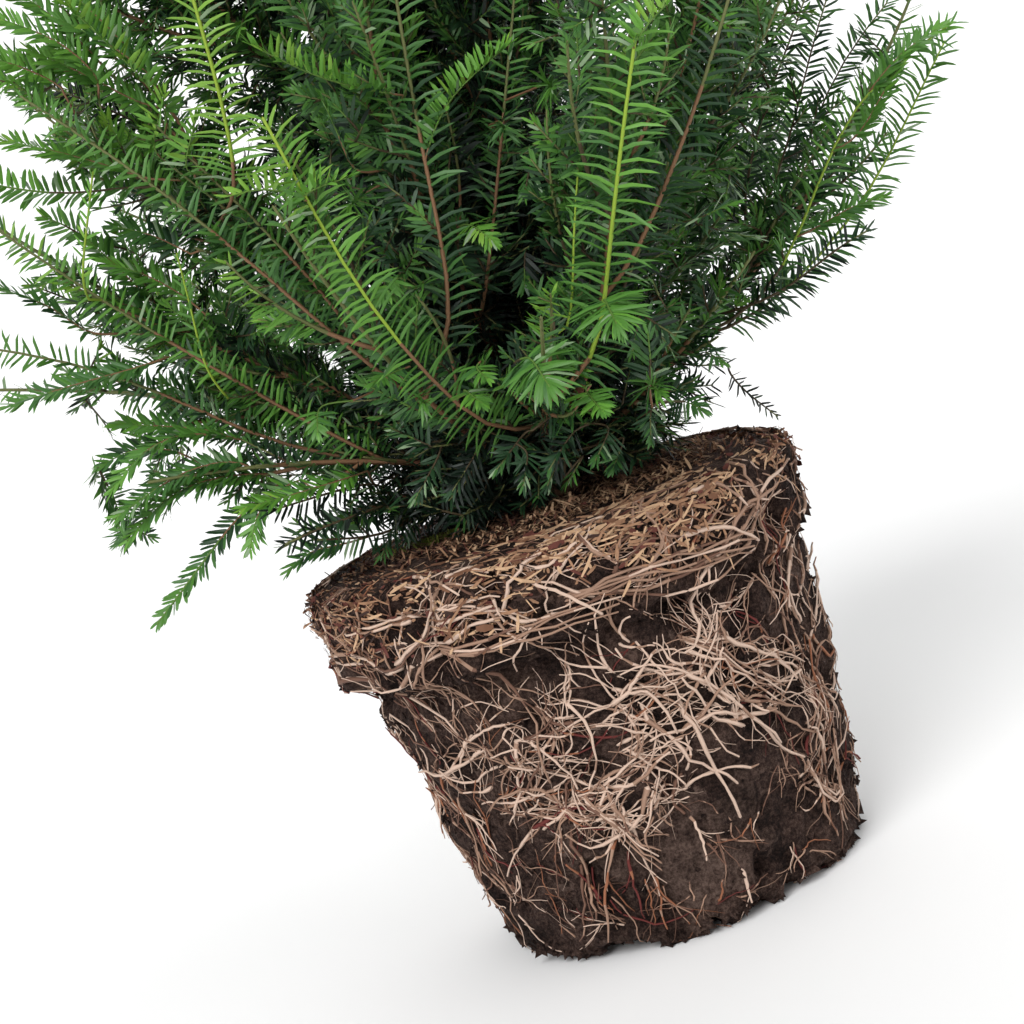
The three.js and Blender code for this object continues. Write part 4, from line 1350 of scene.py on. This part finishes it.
def rootlets(ball, radii, track, tones):
    """Short rootlets that fork from the roots."""
    n = ROOTLETS
    parent = rng.choice(len(radii), n, p=radii[:, 0] / radii[:, 0].sum())
    where = rng.integers(1, ROOT_STEPS - 1, n)
    theta, z, turn = track[parent, where].T
    turn = turn + rng.choice([-1, 1], n) * np.radians(rng.uniform(18, 62, n))
    size = rng.uniform(6, 28, n) * MM
    thick = radii[parent, where] * rng.uniform(0.4, 0.8, n)
    lift = (0.4 * MM + rng.uniform(0.2, 2.2, n) * MM)[:, None] * np.linspace(0.6, 1, 5)
    paths, _ = creep(ball, theta, z, turn, size, rng.normal(0, 0.09, n), 0.2, lift)
    points, faces = tubes(paths, thick[:, None] * np.linspace(1, 0.5, 5), 3)
    return points, faces, np.repeat(tones[parent], len(faces) // n)


def make_roots(ball):
    mats = [*FRONT_MATS.values(), *hidden_mats()]
    made = [shown_roots(ball)] + [mat_roots(ball, mat) for mat in mats]
    paths, radii, track, tones = (np.concatenate(part) for part in zip(*made))
    stuff = plain_materials(ROOT_COLOURS, 0.75, 0.3, 1.2 * MM, 4, 0.6, 0.6 * MM)
    points, faces = tubes(paths, radii, ROOT_SIDES)
    shape = (points, faces, streaked(tones, ROOT_STEPS - 1, ROOT_SIDES))
    piece("roots", shape, stuff, ["root_ball"])
    piece("rootlets", rootlets(ball, radii, track, tones), stuff, ["root_ball"])


def ribbons(centre, way, normal, length, width, bend):
    """Thin shreds: two bent quads each."""
    across = unit(np.cross(normal, way))
    rows = []
    for u in (-0.5, 0.0, 0.5):
        mid = centre + way * (length * u)[:, None] + normal * (bend * (0.25 - u * u) * length)[:, None]
        half = across * (width * (0.5 if u == 0 else 0.28))[:, None]
        rows += [mid - half, mid + half]
    points = np.stack(rows, axis=1)
    return points.reshape(-1, 3), copies([(0, 1, 3), (0, 3, 2), (2, 3, 5), (2, 5, 4)], len(centre), 6)


def side_spot(ball, theta, z):
    """Points of the ball's side and the ways out of it and round it."""
    out = polar(theta, 1, 0)
    return out * ball.at(theta, z)[:, None] + z[:, None] * UP, out, np.cross(UP, out)


MULCH_SIDE = math.radians(-155)  # where the mulch hangs furthest down
PAINTED_LIGHT_SIDE = math.radians(-72)  # where the shreds are palest: straw and tan tones painted in towards the front as painted light
TOP_SHREDS, RIM_SHREDS, MOSS_SHREDS = 5200, 8000, 260  # how many are tried on each
MOST_HANG, MEAN_HANG, MORE_HANG = 44 * MM, 22 * MM, 14 * MM  # down over the rim, the last on that side
CHIP_SHARE = 0.035
CHIP_TONES = (2, 3, 4, 4)  # in the order of MULCH_COLOURS
SHRED_TONES = (0.10, 0.28, 0.34, 0.15, 0.13)  # how the shreds share the colours but for the moss


def mulch_on_top(ball):
    """Where the shreds lie on the top face, their ways and the ways out of the ball."""
    n = TOP_SHREDS
    theta = rng.uniform(0, 2 * np.pi, n)
    reach = np.sqrt(rng.uniform(0.01, 1, n)) * ball.at(theta, np.full(n, ball.edge)) * 0.99
    x, y = np.cos(theta) * reach, np.sin(theta) * reach
    centre = np.stack([x, y, ball.top_height(x, y) + (0.2 + 3.6 * rng.random(n) ** 2) * MM], -1)
    way = polar(rng.uniform(0, 2 * np.pi, n), 1, rng.normal(0, 0.32, n))
    return centre, unit(way), np.broadcast_to(UP, way.shape)


def mulch_on_rim(ball):
    """The same for the shreds that hang down over the rim."""
    theta = rng.uniform(0, 2 * np.pi, RIM_SHREDS)
    down = rng.random(RIM_SHREDS) ** 1.5 * MOST_HANG
    deep = MEAN_HANG + MORE_HANG * np.cos(theta - MULCH_SIDE)
    patchy = noise(polar(theta, 0.13, down), 24 * MM, 41)
    keep = rng.random(RIM_SHREDS) < np.clip(1.25 - down / deep + 0.9 * patchy, 0.02, 1)
    theta, down = theta[keep], down[keep]
    spot, out, around = side_spot(ball, theta, ball.edge - down)
    lean = (rng.normal(0.1, 0.75, len(theta)) * np.clip(down / (12 * MM), 0.3, 1))[:, None]
    flow = around * np.cos(lean) + UP * np.sin(lean) + out * rng.normal(0, 0.30, (len(theta), 1))
    centre = spot + out * (0.2 + 3.8 * rng.random((len(theta), 1)) ** 2) * MM
    return centre, unit(flow), out


def shred_looks(centre):
    """Lengths, widths and tones of the mulch: narrow shreds and a few broad chips, with straw and tan tones
    painted in towards the front as painted light.
    """
    n = len(centre)
    chip = rng.random(n) < CHIP_SHARE
    length = np.where(chip, rng.uniform(5, 9, n), 3 + 13 * rng.random(n) ** 2.4) * MM
    width = np.where(chip, rng.uniform(2.2, 4.4, n), rng.uniform(0.5, 1.9, n)) * MM
    chip_tones = rng.choice(CHIP_TONES, n)
    tones = np.where(chip, chip_tones, rng.choice(len(SHRED_TONES), n, p=SHRED_TONES))
    # painted light: shreds towards the front take the straw or tan tone
    painted_light_share = np.exp(-(((np.arctan2(centre[:, 1], centre[:, 0]) - PAINTED_LIGHT_SIDE) / 0.8) ** 2))
    tones = np.where(~chip & (rng.random(n) < 0.7 * painted_light_share), rng.integers(0, 2, n), tones)
    return length, width, tones


def moss_tuft(ball):
    """Upright blades of moss: all that mulch_on_top and shred_looks give."""
    n = MOSS_SHREDS
    spread = rng.normal(0, 6, (n, 2)) * MM
    x, y = MOSS[0] + spread[:, 0] * 1.5, MOSS[1] + spread[:, 1]
    centre = np.stack([x, y, ball.top_height(x, y) + 2 * MM], -1)
    way = unit(rng.normal(0, 0.5, (n, 3)) + UP)
    normal = unit(rng.normal(0, 1, (n, 3)) * (1, 1, 0.1))
    length, width = rng.uniform(3, 7, n) * MM, rng.uniform(0.7, 1.3, n) * MM
    return centre, way, normal, length, width, np.full(n, list(MULCH_COLOURS).index("moss"))


def make_mulch(ball):
    """Shreds of bark mulch over the ball's top and down over its rim, with a tuft of moss."""
    places = [np.concatenate(part) for part in zip(mulch_on_top(ball), mulch_on_rim(ball))]
    mulch = (*places, *shred_looks(places[0]))
    *arrays, tones = (np.concatenate(part) for part in zip(mulch, moss_tuft(ball)))
    points, faces = ribbons(*arrays, rng.normal(0.25, 0.35, len(tones)))
    stuff = plain_materials(MULCH_COLOURS, 0.85, 0.3, 0.9 * MM, 4, 0.6, 0.45 * MM)
    shape = (points, faces, np.repeat(tones, 4))
    piece("mulch", shape, stuff, ["root_ball"], smooth=False)


CRUMBS = 6500  # in all, with the two sorts below
FOOT_CRUMBS, LIP_CRUMBS = 520, 260  # big ones, along the foot and the torn lip


def make_crumbs(ball, soil):
    """Lumps of compost and grit that cling to the ball."""
    n, foot, big = CRUMBS, FOOT_CRUMBS, FOOT_CRUMBS + LIP_CRUMBS
    theta = rng.uniform(0, 2 * np.pi, n)
    z = rng.uniform(1.5 * MM, ball.edge, n)
    z[:foot] = rng.uniform(1, 9, foot) * MM
    lip = np.interp(theta, ball.theta, ball.lip, period=2 * np.pi)
    z[foot:big] = lip[foot:big] + rng.uniform(-7, 5, LIP_CRUMBS) * MM
    spot, out, _ = side_spot(ball, theta, z)
    size = (0.6 + 2.4 * rng.random(n) ** 3) * MM
    size[:big] = rng.uniform(1.5, 4.2, big) * MM
    spot = spot + out * (size * 0.1)[:, None]
    corners = np.array([[(1, 1, 1), (1, -1, -1), (-1, 1, -1), (-1, -1, 1)]]) * 0.8
    corners = turned(corners, unit(rng.normal(0, 1, (n, 1, 3))), rng.uniform(0, 3, (n, 1)))
    points = spot[:, None] + corners * (size[:, None, None] * rng.uniform(0.6, 1.1, (n, 4, 1)))
    points[..., 2] = np.maximum(points[..., 2], 0.3 * MM)
    shape = (points.reshape(-1, 3), copies([(0, 2, 1), (0, 1, 3), (0, 3, 2), (1, 2, 3)], n, 4), 0)
    piece("crumbs", shape, soil, ["root_ball"], smooth=False)


# ---------------------------------------------------------------- stage

FLOOR_FLAT, FLOOR_END = 2.2, 7.5  # metres: the floor curves up far away, as a shallow bowl
FLOOR_RISE = 0.1
LAMPS = {  # way to each sun, its spread in degrees and its strength: suns light the floor evenly
    "key": ((-0.5, -0.95, 0.85), 35, 2.3),
    "fill": ((0.9, -0.5, 0.9), 60, 0.8),
    "rim": ((0.3, 1.0, 1.1), 50, 0.9),
}


def make_floor():
    rings, sides = 24, 96
    reach = np.concatenate([[0.5], np.linspace(FLOOR_FLAT, FLOOR_END, rings - 1)])
    turn = np.linspace(0, 2 * np.pi, sides, endpoint=False)
    high = FLOOR_RISE * np.maximum(reach - FLOOR_FLAT, 0) ** 2
    points = [(0, 0, 0), *polar(turn, reach[:, None], high[:, None]).reshape(-1, 3).tolist()]
    faces = [(0, 1 + j, 1 + (j + 1) % sides) for j in range(sides)]
    for i in range(rings - 1):
        a, b = 1 + i * sides, 1 + (i + 1) * sides
        faces += [(a + j, b + j, b + (j + 1) % sides, a + (j + 1) % sides) for j in range(sides)]
    mesh = bpy.data.meshes.new("backdrop")
    mesh.from_pydata(points, [], faces)
    mesh.materials.append(material("backdrop", (240, 240, 240), 0.9, 0.1)[0])
    mesh.polygons.foreach_set("use_smooth", np.full(len(faces), True))
    thing = bpy.data.objects.new("backdrop", mesh)
    bpy.context.scene.collection.objects.link(thing)


def make_lights():
    world = bpy.data.worlds.new("studio")
    world.use_nodes = True
    world.node_tree.nodes["Background"].inputs["Color"].default_value = (1, 1, 1, 1)
    world.node_tree.nodes["Background"].inputs["Strength"].default_value = 0.42
    bpy.context.scene.world = world
    for name, (way, spread, power) in LAMPS.items():
        lamp = bpy.data.lights.new(name, "SUN")
        lamp.angle = math.radians(spread)
        lamp.energy = power
        light = bpy.data.objects.new(name, lamp)
        light.rotation_mode = "QUATERNION"
        light.rotation_quaternion = Vector(way).to_track_quat("Z", "Y")
        bpy.context.scene.collection.objects.link(light)
    bpy.context.scene.view_settings.view_transform = "Standard"


def make_camera():
    roll = math.radians(CAMERA_ROLL)
    back = Vector(CAMERA_BACK)
    level = Vector((1, 0, 0))
    upright = level.cross(-back)
    right = level * math.cos(roll) + upright * math.sin(roll)
    up = upright * math.cos(roll) - level * math.sin(roll)
    lens = bpy.data.cameras.new("camera")
    lens.lens = CAMERA_LENS
    lens.sensor_width = 36
    lens.clip_start, lens.clip_end = 0.01, 50
    camera = bpy.data.objects.new("camera", lens)
    turn = Matrix((right, up, back)).transposed().to_4x4()
    camera.matrix_world = Matrix.Translation(Vector(EYE)) @ turn
    bpy.context.scene.collection.objects.link(camera)
    bpy.context.scene.camera = camera


# ---------------------------------------------------------------- everything

make_camera()
make_floor()
make_lights()
make_trunk()
make_boughs()
grow_crown()
make_needles()
make_twigs()
ball = Ball()
compost = [
    soil_material("compost_dark", [(18, 11, 10), (48, 34, 30), (80, 61, 54), (124, 100, 89)]),
    soil_material("compost_pale", [(42, 30, 26), (76, 59, 52), (106, 85, 76), (146, 122, 110)]),
]
make_soil(ball, compost)
make_roots(ball)
make_mulch(ball)
make_crumbs(ball, compost)
